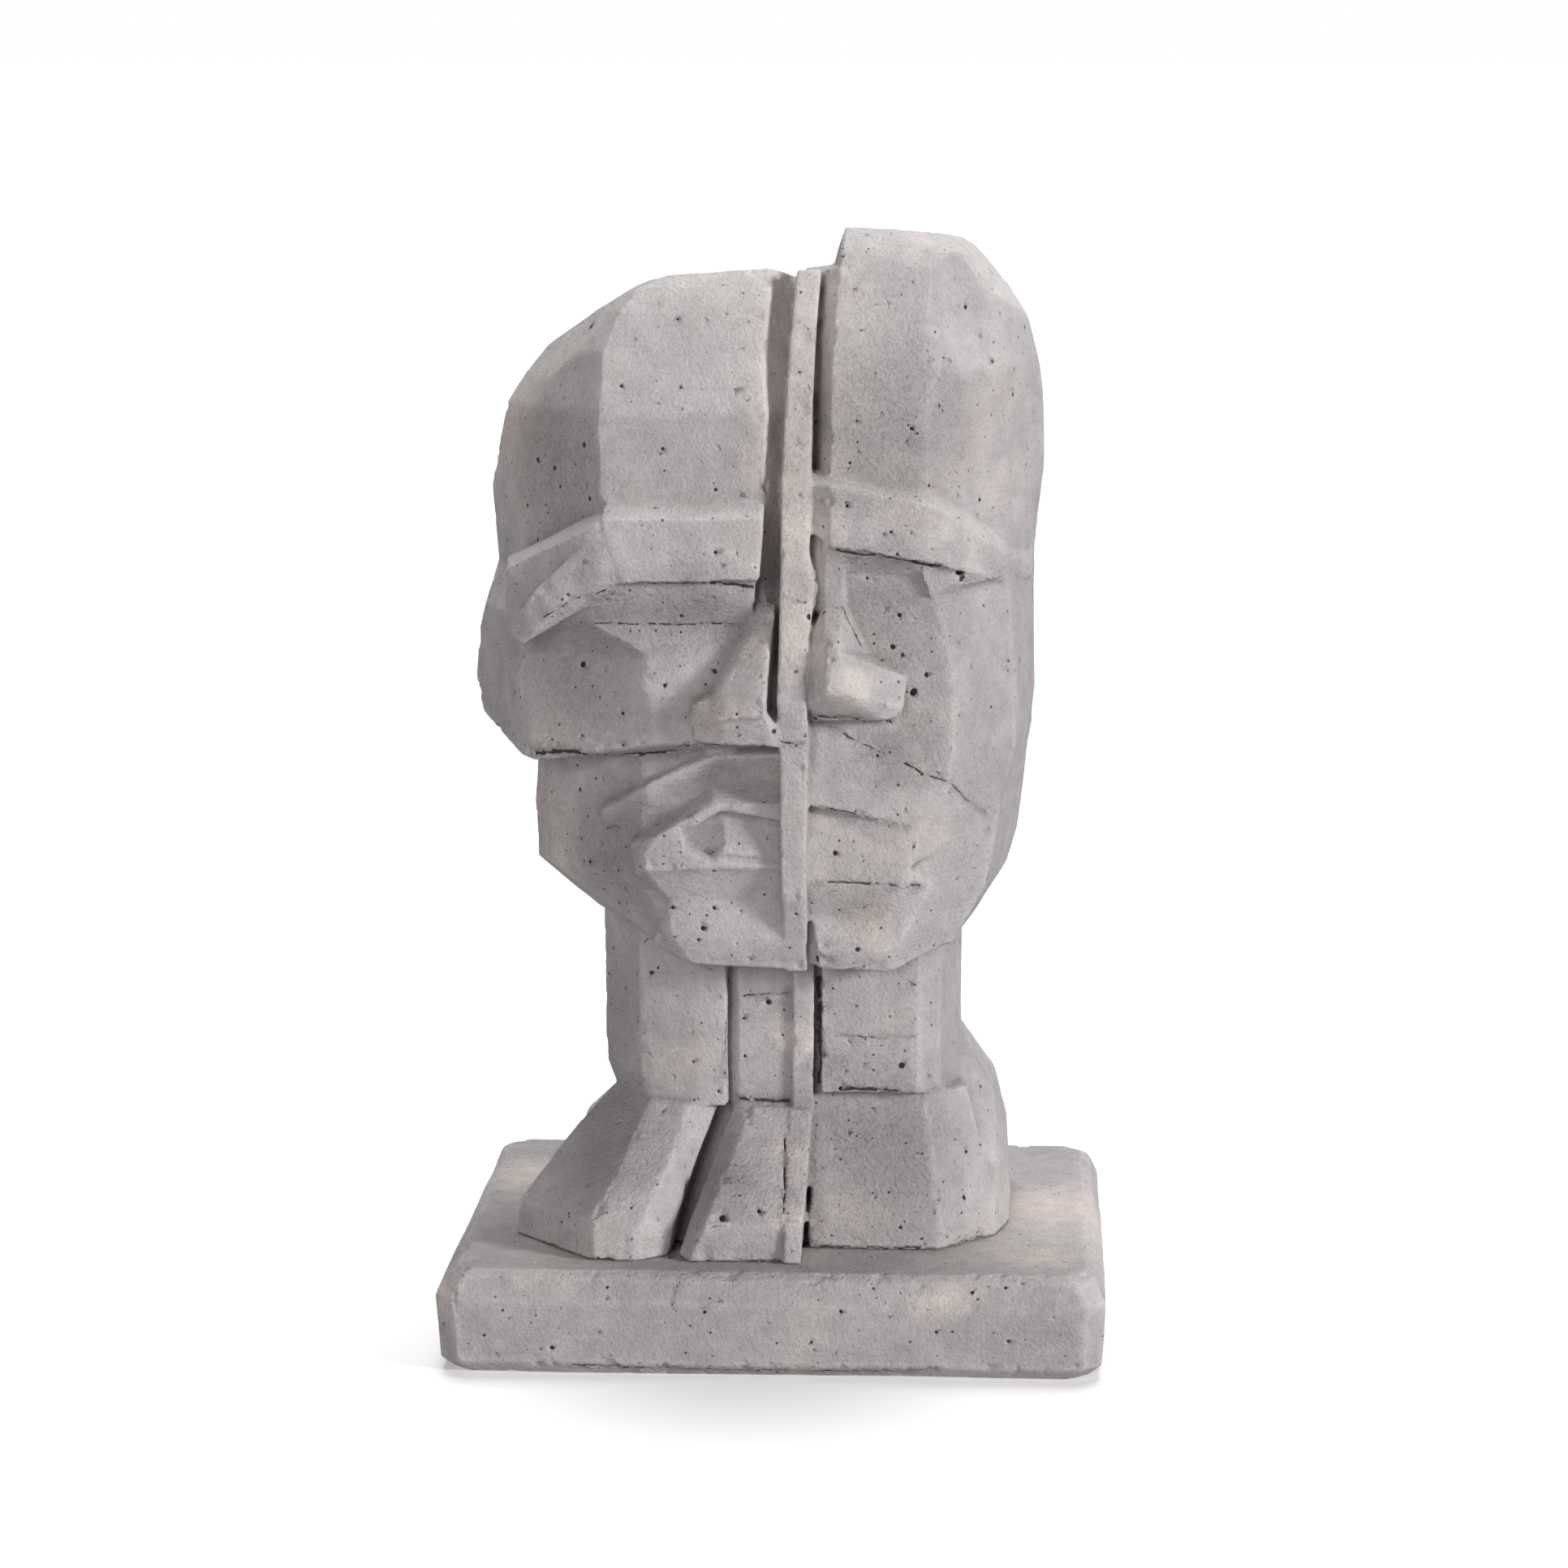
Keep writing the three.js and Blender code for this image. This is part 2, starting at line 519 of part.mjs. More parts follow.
function shoulders() {
  const outer = rib([
    [[-53.3, -20, 79], [-40.6, -46, 78.5], [-27.8, -50, 78.5], [-18.6, -46, 78]],
    [[-65, -24, 66], [-49.8, -60, 59.5], [-34.2, -64, 60], [-25.5, -55, 60]],
    [[-83, -40, 44], [-57.1, -72, 45.5], [-42, -74.5, 42.5], [-31.5, -66, 42.5]],
    [[-84, -42, FOOT], [-56, -75, FOOT], [-42.2, -74.5, FOOT], [-33, -67, FOOT]],
  ], 10);
  const middle = rib([
    [[-13, -44, 78], [-7.1, -50, 77], [5.1, -50, 77]],
    [[-26, -62, 45], [-20.8, -74, 45], [4.5, -74, 45]],
    [[-30, -66, FOOT], [-26, -74, FOOT], [4.5, -74, FOOT]],
  ], -10);
  const strip = rib([
    [[4.9, -51, 77], [11.8, -51, 77]],
    [[4, -75.5, 44], [9.6, -75.5, 44]],
    [[3.8, -76, FOOT], [9.2, -76, FOOT]],
  ], -10);
  const right = rib([
    [[12.4, -45, 81], [47.6, -45, 81], [60.5, -30, 81]],
    [[11, -56, 42], [52.5, -56, 42], [70, -38, 44]],
    [[10.6, -56, FOOT], [52, -56, FOOT], [70, -37, FOOT]],
  ], 20);
  const rear = loft([
    [[-76, -30], [0, -40], [70, -38], [74.5, -20], [74.5, 40], [56, SHOULDER_BACK],
      [-58, SHOULDER_BACK], [-76, 40]].map(([x, y]) => [x, y, FOOT]),
    [[-66, -26], [0, -40], [70, -36], [73.5, -18], [73.5, 38], [54, 72], [-54, 72], [-68, 38]]
      .map(([x, y]) => [x, y, 56]),
    [[-46, -12], [0, -36], [58, -26], [69, -8], [69, 30], [48, 56], [-44, 56], [-50, 28]]
      .map(([x, y]) => [x, y, 74]),
    [[-36, -6], [0, -30], [52, -20], [57.5, -4], [57.5, 24], [38, 42], [-34, 42], [-38, 20]]
      .map(([x, y]) => [x, y, 92]),
  ]);
  return join([outer, middle, strip, right, rear]);
}

// The slab, with bevelled upper edges, clipped corners and a small chamfer underneath
function slab() {
  const levels = [
    { z: 0, inset: 5 },
    { z: 4, inset: 1.2 },
    { z: 24, inset: 0 },
    { z: 31, inset: 3 },
    { z: SLAB_HEIGHT, inset: 6 },
  ];
  return loft(levels.map(({ z, inset }) => {
    const x = SLAB_WIDTH / 2 - inset;
    const y = SLAB_DEPTH / 2 - inset;
    const c = SLAB_CORNER;
    return [
      [-x + c, -y], [x - c, -y], [x, -y + c], [x, y - c],
      [x - c, y], [-x + c, y], [-x, y - c], [-x, -y + c],
    ].map(([px, py]) => [px, py, z]);
  }));
}

// The mass behind the face, which carries both halves, the fin, the neck and the shoulders
function body() {
  return join([
    block(
      [-40, -34, 150], [40, -34, 150], [-40, 34, 150], [40, 34, 150],
      [-20, -24, 310], [40, -24, 310], [-20, 20, 310], [40, 20, 310],
    ),
    block(
      [-40, -34, 60], [40, -34, 60], [-40, 30, 60], [40, 30, 60],
      [-38, -34, 160], [40, -34, 160], [-38, 34, 160], [40, 34, 160],
    ),
    block(
      [-40, -50, FOOT], [40, -50, FOOT], [-40, 30, FOOT], [40, 30, FOOT],
      [-36, -36, 78], [36, -36, 78], [-36, 30, 78], [36, 30, 78],
    ),
  ]);
}

function head() {
  return join([
    body(),
    lowSkull(), lowBrow(), lowLid(), lowNose(), lowJaw(), lowFold(), lowMouth(), lowChin(),
    tallSkull(), tallBrow(), tallLid(), tallNose(), tallLip(), tallMouth(), tallChin(),
    fin(), neck(), shoulders(),
  ]);
}

function mesh(name, body, material) {
  const { vertProperties, triVerts } = body.getMesh();
  const geometry = new THREE.BufferGeometry();
  geometry.setAttribute('position', new THREE.BufferAttribute(vertProperties, 3));
  geometry.setIndex(new THREE.BufferAttribute(triVerts, 1));
  const flat = geometry.toNonIndexed();
  flat.computeVertexNormals();
  const piece = new THREE.Mesh(flat, material);
  piece.name = name;
  return piece;
}

const concrete = new THREE.MeshStandardMaterial({ color: 0xb5b1b0, roughness: 0.92, metalness: 0 });
const slabConcrete = new THREE.MeshStandardMaterial({ color: 0xbcb6b3, roughness: 0.92, metalness: 0 });

const sculpture = new THREE.Group();
sculpture.add(mesh('head', head(), concrete));
sculpture.add(mesh('plinth', slab(), slabConcrete));

export default sculpture;
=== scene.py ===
import math

import bmesh
import bpy
from bpy.props import FloatProperty, FloatVectorProperty, IntProperty, PointerProperty
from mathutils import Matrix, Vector
from mathutils.bvhtree import BVHTree


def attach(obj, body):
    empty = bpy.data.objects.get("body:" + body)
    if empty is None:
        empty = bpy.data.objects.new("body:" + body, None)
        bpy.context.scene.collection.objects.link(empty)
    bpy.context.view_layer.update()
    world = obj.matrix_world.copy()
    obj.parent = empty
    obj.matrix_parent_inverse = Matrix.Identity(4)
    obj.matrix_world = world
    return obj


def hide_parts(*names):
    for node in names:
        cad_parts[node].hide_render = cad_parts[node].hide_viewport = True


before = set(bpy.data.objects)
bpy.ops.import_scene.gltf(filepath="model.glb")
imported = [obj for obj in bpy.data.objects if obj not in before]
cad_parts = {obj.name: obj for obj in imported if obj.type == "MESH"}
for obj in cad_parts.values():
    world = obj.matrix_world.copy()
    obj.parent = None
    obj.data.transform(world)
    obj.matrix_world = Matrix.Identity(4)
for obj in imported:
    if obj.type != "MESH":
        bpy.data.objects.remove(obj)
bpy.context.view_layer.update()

bl_info = {
    "name": "Split Head Sculpture",
    "version": (1, 0, 0),
    "blender": (4, 5, 0),
    "location": "View3D > Sidebar > Sculpture",
    "description": "A cast concrete head in two mismatched halves, with its slab and a plain studio",
    "category": "Add Mesh",
}

# A millimetre, in metres
MM = 0.001

# Where the cast surface of the head tore open, seen from the front: each seam's name, its half
# width, and stations of x and z along it, in millimetres
SEAMS = [
    ("under the low brow", 0.6, [(-47, 246.6), (-38, 247.2), (-24, 247.5), (-12, 247.1), (-6, 246)]),
    ("under the bent end of the brow", 0.35, [(-71.4, 235.9), (-67.3, 238.2), (-62.1, 241.9),
                                              (-56.2, 243.3), (-47, 246.6)]),
    ("slit of the closed eye", 0.26, [(-57.4, 233.9), (-51.7, 234.2), (-41.7, 233.8),
                                      (-31.8, 233.7), (-21.9, 234.2), (-9, 233.8)]),
    ("break under the low cheek", 0.8, [(-75.9, 191.4), (-62.8, 192.6), (-54.1, 191.1),
                                        (-47.4, 191.6), (-40.3, 192.9), (-31, 193.5)]),
    ("break under the low nose", 0.6, [(-29, 195), (-22, 196.2), (-10, 197), (1, 197.2)]),
    ("parting of the low lips", 0.3, [(-20, 162.6), (-12, 162.2), (-4, 161.4), (1, 161)]),
    ("under the tall brow", 0.8, [(19.6, 257.6), (26.3, 256.2), (32.4, 256), (38.4, 255.1),
                                  (46.1, 253.8), (52, 252.4)]),
    ("lid crack", 0.3, [(46, 252.2), (58, 249.4), (66, 246.6), (71, 245)]),
    ("beside the tall nose", 0.35, [(20.5, 252), (21.5, 240), (27, 228), (34, 222.5)]),
    ("under the tall nose", 0.6, [(13.5, 206.4), (17, 206), (24, 206.2), (32, 204.8), (37, 204)]),
    ("cheek crack", 0.32, [(15, 203.8), (27, 197.4), (38.5, 192.2), (46.8, 187.8), (55, 184.4),
                           (60, 178), (66, 172.5)]),
    ("tall mouth", 0.35, [(14.2, 177.8), (28, 174.8), (42, 170.9)]),
    ("under the lower lip", 0.32, [(13, 153.4), (22, 154), (29, 153.4), (38, 153), (46, 152)]),
    ("across the fin", 0.28, [(2.8, 198.8), (6, 198.4), (10.8, 198.8)]),
    ("scratch on the fin", 0.14, [(3.8, 244.1), (6.5, 242.6), (9.7, 241.7)]),
    ("gap beside the left neck block", 0.6, [(-15.3, 119.5), (-15.5, 103), (-15.9, 88)]),
    ("gap beside the right neck block", 0.8, [(13.7, 119), (13.5, 109.4), (13.8, 95.5),
                                              (14.4, 89.9), (13.4, 84)]),
    ("under the middle neck block", 0.6, [(-12, 79.4), (-5.8, 78.8), (4.3, 79.2)]),
    ("under the right neck block", 0.7, [(13.4, 83.2), (21.5, 83.8), (29.5, 83.7), (37.8, 83.2),
                                         (43, 82.2)]),
    ("casting line on the neck", 0.16, [(-10, 113.2), (-1.9, 113.8), (5, 114.4)]),
    ("saw mark on the neck", 0.14, [(20.2, 101.3), (31, 100.6), (44.4, 101.1)]),
    ("left of the strip", 0.4, [(3.3, 69.2), (3.3, 63), (3.8, 57.4), (3.8, 49.7), (3.7, 40.7)]),
    ("bedding under the ribs", 0.4, [(-10, 33.8), (-4, 33.7), (2.5, 33.7)]),
    ("bedding under the tall shoulder", 0.6, [(14.5, 33.7), (30, 33.7), (45, 33.7), (59.7, 33.8),
                                              (66, 33.9)]),
]

# The larger air holes of the head, seen from the front: x, z and radius in millimetres
AIR_HOLES = [
    (58.5, 330.5, 0.8), (-58.5, 324, 0.9), (67, 313.5, 0.6), (-47.5, 307, 0.6), (73.5, 302.5, 0.6),
    (52, 299.5, 0.5), (42.5, 294.5, 0.6), (-59.5, 288.5, 0.8), (-34.5, 288, 0.6), (23.5, 284, 0.5),
    (-76, 282, 0.8), (-70, 280, 0.7), (48, 277, 0.5), (-18, 275.5, 0.6), (-68, 274.5, 0.5),
    (-57.5, 272, 0.8), (23, 271.5, 0.6), (63.5, 271, 0.6), (-73.5, 268, 0.5), (-80, 267, 0.5),
    (36.5, 263.5, 0.5), (-17.5, 257, 0.5), (-76.5, 256.5, 0.7), (29, 248.5, 0.5), (58.5, 248, 1.2),
    (11.5, 237.5, 0.8), (39, 237, 0.6), (-28.5, 236.5, 0.5), (37, 227, 0.8), (40, 224.5, 0.6),
    (7.5, 221, 0.5), (-60, 220, 0.9), (-18, 219.5, 0.8), (47.5, 218.5, 0.8), (-33.5, 215, 0.6),
    (43.5, 213, 1.3), (-83.5, 209, 0.5), (-10.5, 208, 0.5), (-47, 205.5, 0.6), (13, 205.5, 1.3),
    (1, 202.5, 0.7), (32.5, 193.5, 0.5), (46.5, 187.5, 0.7), (-64, 185, 0.6), (-63, 177.5, 0.8),
    (19.5, 163, 0.7), (-59.5, 155, 0.6), (-18.5, 144.5, 0.6), (-31.5, 144.5, 0.7),
    (-59.5, 143, 0.6), (-22, 138, 0.8), (26.5, 132, 0.8), (14, 128.5, 1), (-54, 123.5, 0.6),
    (-39.5, 120, 0.7), (-49, 112.5, 0.5), (-2.5, 111, 0.9), (40, 91.5, 0.9), (60.5, 61.5, 0.6),
    (-4, 49, 0.8), (60, 48, 0.8), (-15.5, 47, 1.2), (40, 40.5, 0.5),
]

# The same for the slab
SLAB_AIR_HOLES = [
    (-67.9, 9.2, 0.8), (-50.6, 28.5, 0.5), (-20, 21.5, 0.6), (13.3, 12.2, 0.5), (22.5, 22.4, 0.5),
    (32.5, 29.4, 0.5), (52.2, 16, 0.5), (63.3, 28.5, 0.55), (73.6, 30, 0.5), (74.7, 13.3, 0.6),
]

# The seams of the slab: a hairline down its front, and its broken lower edge
SLAB_SEAMS = [
    ("hairline", 0.16, [(-26.8, 32.4), (-28.5, 29.1), (-30.1, 23.7), (-29.1, 21.6)]),
    ("broken lower edge", 0.45, [(-62, 3.4), (-30, 2.4), (8, 1.8), (40, 2.2), (52, 3.6)]),
]

# Pinkish and cream patches of the mix: x, y, z and radius in millimetres
PATCHES = [
    (8, -48, 334, 24), (8, -57, 308, 22), (7, -62, 284, 20), (7, -67, 262, 18), (6, -73, 232, 17),
    (92, -2, 33, 30), (84, -60, 33, 16), (56, -88, 28, 11), (-85, 34, 33, 24), (-104, -86, 22, 9),
    (31, -63, 139, 10), (-22, -71, 207, 8), (24, -77, 217, 10), (-82, -38, 253, 6),
    (-12, -76, 207, 6), (8, -48, 100, 9), (7, -60, 64, 9), (7, -70, 48, 9), (-86, -10, 300, 26),
]

# Where pale cement blooms on the skin, and where pale is painted on as light on faces that get too
# little from the lamps: x, y, z and radius in millimetres
BLOOM_AND_PAINTED_LIGHT = [
    (-48, -67, 256, 12), (-34, -67, 256, 12), (-20, -67, 256, 12), (-8, -67, 256, 12),
    (20, -68, 267, 13), (34, -68, 264, 13), (48, -66, 261, 13), (62, -58, 255, 12),
    (34, -58, 300, 22), (-12, -63, 135, 20), (-68, -64, 242, 12), (-20, -66, 214, 22),
    (8, -50, 320, 30), (22, -62, 145, 16), (-68, -48, 206, 22), (-68, -40, 284, 26),
    (-85, -10, 270, 30), (96, -30, 33, 50), (24, -74, 216, 9), (40, -62, 236, 20),
    (28, -58, 148, 14),
]

# Rough, sandy areas, duller and with more pores: x, y, z and radius in millimetres
ROUGH = [
    (34, -58, 296, 34), (-71, -38, 284, 26), (-56, -52, 161, 22), (-26, -63, 240, 22),
    (-52, -62, 238, 20), (40, -60, 240, 24), (27, -60, 148, 14), (30, -50, 62, 34), (-14, -62, 55, 16),
    (-66, -51, 212, 18), (40, -62, 196, 14), (-40, -50, 168, 12), (-23, -70, 208, 7),
    (17, -49, 91, 8),
]

# The node tree that both pieces share
WORN_SURFACE = "Worn cast surface"

# How hollow the insides of air holes and seams count, on the scale where an arris is below 0; at this
# depth they take the dark colour, partly grime and partly painted shade
DEEP = 2.5

# About a whole turn in radians, as far as an air hole may be turned
FULL_TURN = 6.3

# The triangles that the plain slab keeps, and the seeds that scatter the small air holes
SLAB_TRIANGLES = 90000
HEAD_SEED = 11
SLAB_SEED = 4

# How high the drag marks stand on each piece in millimetres, and how far its concrete is darkened: on
# the slab this is a painted shade, for the weaker light low down
HEAD_DRAG = 1.0
SLAB_DRAG = 0.8
HEAD_SHADE = 1.0
SLAB_SHADE = 0.94

# The camera, read off the slab's edges in the photograph: its place in metres, its turn in
# degrees, its lens and sensor in millimetres, and how far it sees, in metres
CAMERA_PLACE = (0.0759, -1.457, 0.416)
CAMERA_TURN = (80.568, 0.0, 2.977)
CAMERA_LENS = 104.35
CAMERA_SENSOR = 36.0
CAMERA_REACH = 100

# Half the side of the floor in metres, and how much the floor glows of itself
FLOOR_HALF = 60.0
FLOOR_GLOW = 0.22


def linear(hex_colour):
    """An sRGB hex colour as linear red, green and blue."""
    parts = (int(hex_colour[i:i + 2], 16) / 255 for i in (1, 3, 5))
    return tuple(part / 12.92 if part <= 0.04045 else ((part + 0.055) / 1.055) ** 2.4
                 for part in parts)


def opaque(colour):
    """A colour with the fourth number that shader sockets take."""
    return (*colour, 1.0)


def add(tree, kind, inputs=None, **settings):
    """Adds a node to a tree, with its settings, and with its inputs set or linked."""
    made = tree.nodes.new(kind)
    for name, value in settings.items():
        setattr(made, name, value)
    for name, value in (inputs or {}).items():
        if isinstance(value, bpy.types.NodeSocket):
            tree.links.new(value, made.inputs[name])
        else:
            made.inputs[name].default_value = value
    return made


# Settings


class ConcreteSettings(bpy.types.PropertyGroup):
    """The colours of the cast concrete."""
    grey: FloatVectorProperty(
        name="Grey", description="The cast face of the concrete", subtype="COLOR",
        default=linear("#b1acae"), min=0, max=1)
    # Pale also stands for painted light: on faces that look up, as a highlight on arrises, and at some
    # of the listed pale places
    pale: FloatVectorProperty(
        name="Pale", description="Cement bloom and worn arrises", subtype="COLOR",
        default=linear("#d2cdcc"), min=0, max=1)
    warm: FloatVectorProperty(
        name="Warm", description="Pinkish and cream patches of the mix", subtype="COLOR",
        default=linear("#dccfc9"), min=0, max=1)
    # This grey stands for dust in the hollows, and also for painted shade in hollows and on undersides
    silt_and_shade: FloatVectorProperty(
        name="Silt", description="Grey dust in the hollows", subtype="COLOR",
        default=linear("#989290"), min=0, max=1)
    # This dark also goes into air holes, seams, narrow gaps and pores, where it partly stands for
    # painted shade
    dirt_and_shadow: FloatVectorProperty(
        name="Dirt", description="What has settled in seams and grooves", subtype="COLOR",
        default=linear("#3a3635"), min=0, max=1)


class SurfaceSettings(bpy.types.PropertyGroup):
    """The wear and the air holes of one piece."""
    grain: FloatProperty(
        name="Mesh grain", description="Spacing of the points that carry the relief",
        subtype="DISTANCE", unit="LENGTH", default=0.7 * MM, min=0.5 * MM, max=4 * MM)
    softness: IntProperty(
        name="Softness", description="Rounds of smoothing that wear the arrises down",
        default=1, min=0, max=60)
    wave: FloatProperty(
        name="Waviness", description="How far the cut planes wander from flat",
        subtype="DISTANCE", unit="LENGTH", default=0.7 * MM, min=0, max=3 * MM)
    grit: FloatProperty(
        name="Grit", description="Height of the rough cast skin",
        subtype="DISTANCE", unit="LENGTH", default=0.18 * MM, min=0, max=1 * MM)
    chip: FloatProperty(
        name="Chips", description="Depth of the chips along worn arrises",
        subtype="DISTANCE", unit="LENGTH", default=1.2 * MM, min=0, max=3 * MM)
    spacing: FloatProperty(
        name="Air hole spacing", description="Least distance between two small air holes",
        subtype="DISTANCE", unit="LENGTH", default=5.5 * MM, min=2 * MM, max=60 * MM)
    smallest: FloatProperty(
        name="Smallest air hole", description="Radius of the smallest air holes",
        subtype="DISTANCE", unit="LENGTH", default=0.2 * MM, min=0.1 * MM, max=2 * MM)
    largest: FloatProperty(
        name="Largest air hole", description="Radius of the largest scattered air holes",
        subtype="DISTANCE", unit="LENGTH", default=0.6 * MM, min=0.2 * MM, max=4 * MM)
    triangles: IntProperty(
        name="Triangles", description="How many triangles the worn surface keeps",
        default=125000, min=2000, max=190000)


class StageSettings(bpy.types.PropertyGroup):
    """The floor and the light."""
    floor_colour: FloatVectorProperty(
        name="Floor", description="The pale studio floor", subtype="COLOR",
        default=linear("#f2f1f0"), min=0, max=1)
    side: FloatProperty(
        name="Side light", description="Strength of the low, soft light from the right",
        default=3.05, min=0, max=20)
    fill: FloatProperty(
        name="Fill light", description="Strength of the low, soft light from the front left",
        default=1.35, min=0, max=20)
    top: FloatProperty(
        name="Top light", description="Strength of the soft light from above and behind",
        default=3.05, min=0, max=20)
    sky: FloatProperty(
        name="Sky", description="Strength of the light that comes from all round",
        default=0.02, min=0, max=5)
    bounce: FloatProperty(
        name="Bounce", description="Strength of the light that the floor throws back up",
        default=0.5, min=0, max=5)


# Worked-out shapes


def worn_surface_tree():
    """A cast surface: worn arrises, wandering planes, grit, and a measure of how hollow it is."""
    tree = bpy.data.node_groups.new(WORN_SURFACE, "GeometryNodeTree")
    sockets = tree.interface
    sockets.new_socket("Geometry", in_out="INPUT", socket_type="NodeSocketGeometry")
    sockets.new_socket("Places", in_out="INPUT", socket_type="NodeSocketObject")
    sockets.new_socket("Softness", in_out="INPUT", socket_type="NodeSocketInt")
    for name in ("Waviness", "Grit", "Chips"):
        sockets.new_socket(name, in_out="INPUT", socket_type="NodeSocketFloat")
    sockets.new_socket("Geometry", in_out="OUTPUT", socket_type="NodeSocketGeometry")
    given = add(tree, "NodeGroupInput").outputs
    place = add(tree, "GeometryNodeInputPosition").outputs[0]
    normal = add(tree, "GeometryNodeInputNormal").outputs[0]

    # Arrises are worn unevenly: more in some stretches than in others
    uneven = add(tree, "ShaderNodeTexNoise", {"Vector": place, "Scale": 1 / 0.022, "Detail": 2.0})
    weight = add(tree, "ShaderNodeMapRange", {
        "Value": uneven.outputs[0], "From Min": 0.35, "From Max": 0.65, "To Min": 0.35, "To Max": 1.0})
    worn = add(tree, "GeometryNodeBlurAttribute", {
        "Value": place, "Iterations": given["Softness"], "Weight": weight.outputs[0]},
        data_type="FLOAT_VECTOR")
    soft = add(tree, "GeometryNodeSetPosition", {
        "Geometry": given["Geometry"], "Position": worn.outputs[0]})

    # How far the surface lies under its neighbourhood, near by and in a wider ring, and how much
    # each counts: above 0 in grooves, below 0 on arrises
    measures = []
    for rounds, share in ((12, 1.4), (140, 0.22)):
        around = add(tree, "GeometryNodeBlurAttribute", {
            "Value": place, "Iterations": rounds, "Weight": 1.0}, data_type="FLOAT_VECTOR")
        under = add(tree, "ShaderNodeVectorMath", {0: around.outputs[0], 1: place},
                    operation="SUBTRACT")
        depth = add(tree, "ShaderNodeVectorMath", {0: under.outputs[0], 1: normal},
                    operation="DOT_PRODUCT")
        measures.append(add(tree, "ShaderNodeMath", {0: depth.outputs["Value"], 1: share / MM},
                            operation="MULTIPLY"))
    hollow = add(tree, "ShaderNodeMath", {0: measures[0].outputs[0], 1: measures[1].outputs[0]},
                 operation="ADD")

    # Along the seams the skin is torn, in a band that reaches five half widths to either side
    places = add(tree, "GeometryNodeObjectInfo", {"Object": given["Places"]},
                 transform_space="RELATIVE").outputs["Geometry"]
    near = add(tree, "GeometryNodeProximity", {0: places}, target_element="EDGES")
    station = add(tree, "GeometryNodeSampleNearest", {0: places}, domain="POINT")
    width = add(tree, "GeometryNodeInputNamedAttribute", {"Name": "half_width"}, data_type="FLOAT")
    here = add(tree, "GeometryNodeSampleIndex", {
        "Geometry": places, "Value": width.outputs["Attribute"], "Index": station.outputs[0]},
        data_type="FLOAT", domain="POINT")
    reach = add(tree, "ShaderNodeMath", {0: here.outputs[0], 1: 5.0}, operation="MULTIPLY")
    band = add(tree, "ShaderNodeMapRange", {
        "Value": near.outputs["Distance"], "From Min": 0.0, "From Max": reach.outputs[0],
        "To Min": 1.0, "To Max": 0.0})
    crumbs = add(tree, "ShaderNodeTexNoise", {
        "Vector": place, "Scale": 1 / 0.0022, "Detail": 3.0, "Roughness": 0.65})
    crumbled = add(tree, "ShaderNodeMapRange", {
        "Value": crumbs.outputs[0], "From Min": 0.45, "From Max": 0.66, "To Min": 0.06, "To Max": -0.7})
    crumb = add(tree, "ShaderNodeMath", {0: band.outputs[0], 1: crumbled.outputs[0]},
                operation="MULTIPLY")
    crumb_rise = add(tree, "ShaderNodeMath", {0: crumb.outputs[0], 1: MM}, operation="MULTIPLY")

    # What the material has to know is kept on the points
    # The tilt is kept as upward: by it the material paints light on faces that look up and shade on
    # undersides
    tilt = add(tree, "ShaderNodeSeparateXYZ", {0: normal})
    known = soft
    for name, measure in (("torn", band.outputs[0]), ("upward", tilt.outputs["Z"]),
                          ("hollow", hollow.outputs[0])):
        known = add(tree, "GeometryNodeStoreNamedAttribute", {
            "Geometry": known.outputs[0], "Name": name, "Value": measure},
            data_type="FLOAT", domain="POINT")
    hollowness = add(tree, "GeometryNodeInputNamedAttribute", {"Name": "hollow"}, data_type="FLOAT")

    # The planes wander, and the arrises with them
    slow = add(tree, "ShaderNodeTexNoise", {"Vector": place, "Scale": 1 / 0.034, "Detail": 1.5})
    centred = add(tree, "ShaderNodeVectorMath", {0: slow.outputs["Color"], 1: (0.5, 0.5, 0.5)},
                  operation="SUBTRACT")
    twice = add(tree, "ShaderNodeMath", {0: given["Waviness"], 1: 2.0}, operation="MULTIPLY")
    wander = add(tree, "ShaderNodeVectorMath", {0: centred.outputs[0], "Scale": twice.outputs[0]},
                 operation="SCALE")

    # Grit at two sizes, 9 mm and 3 mm across, along the normal
    lumps = add(tree, "ShaderNodeTexNoise", {"Vector": place, "Scale": 1 / 0.009, "Detail": 1.0})
    sand = add(tree, "ShaderNodeTexNoise", {"Vector": place, "Scale": 1 / 0.003, "Detail": 2.0})
    both = add(tree, "ShaderNodeMath", {0: lumps.outputs[0], 1: sand.outputs[0]}, operation="ADD")
    level = add(tree, "ShaderNodeMath", {0: both.outputs[0], 1: 1.0}, operation="SUBTRACT")
    skin = add(tree, "ShaderNodeMath", {0: level.outputs[0], 1: given["Grit"]}, operation="MULTIPLY")

    # Chips: bites out of the arrises only
    arris = add(tree, "ShaderNodeMapRange", {
        "Value": hollowness.outputs["Attribute"], "From Min": -0.12, "From Max": -0.4,
        "To Min": 0.0, "To Max": 1.0})
    bites = add(tree, "ShaderNodeTexNoise", {"Vector": place, "Scale": 1 / 0.006, "Detail": 3.0})
    bitten = add(tree, "ShaderNodeMapRange", {
        "Value": bites.outputs[0], "From Min": 0.56, "From Max": 0.72, "To Min": 0.0, "To Max": 1.0})
    chip = add(tree, "ShaderNodeMath", {0: arris.outputs[0], 1: bitten.outputs[0]},
               operation="MULTIPLY")
    inwards = add(tree, "ShaderNodeMath", {0: chip.outputs[0], 1: given["Chips"]},
                  operation="MULTIPLY")

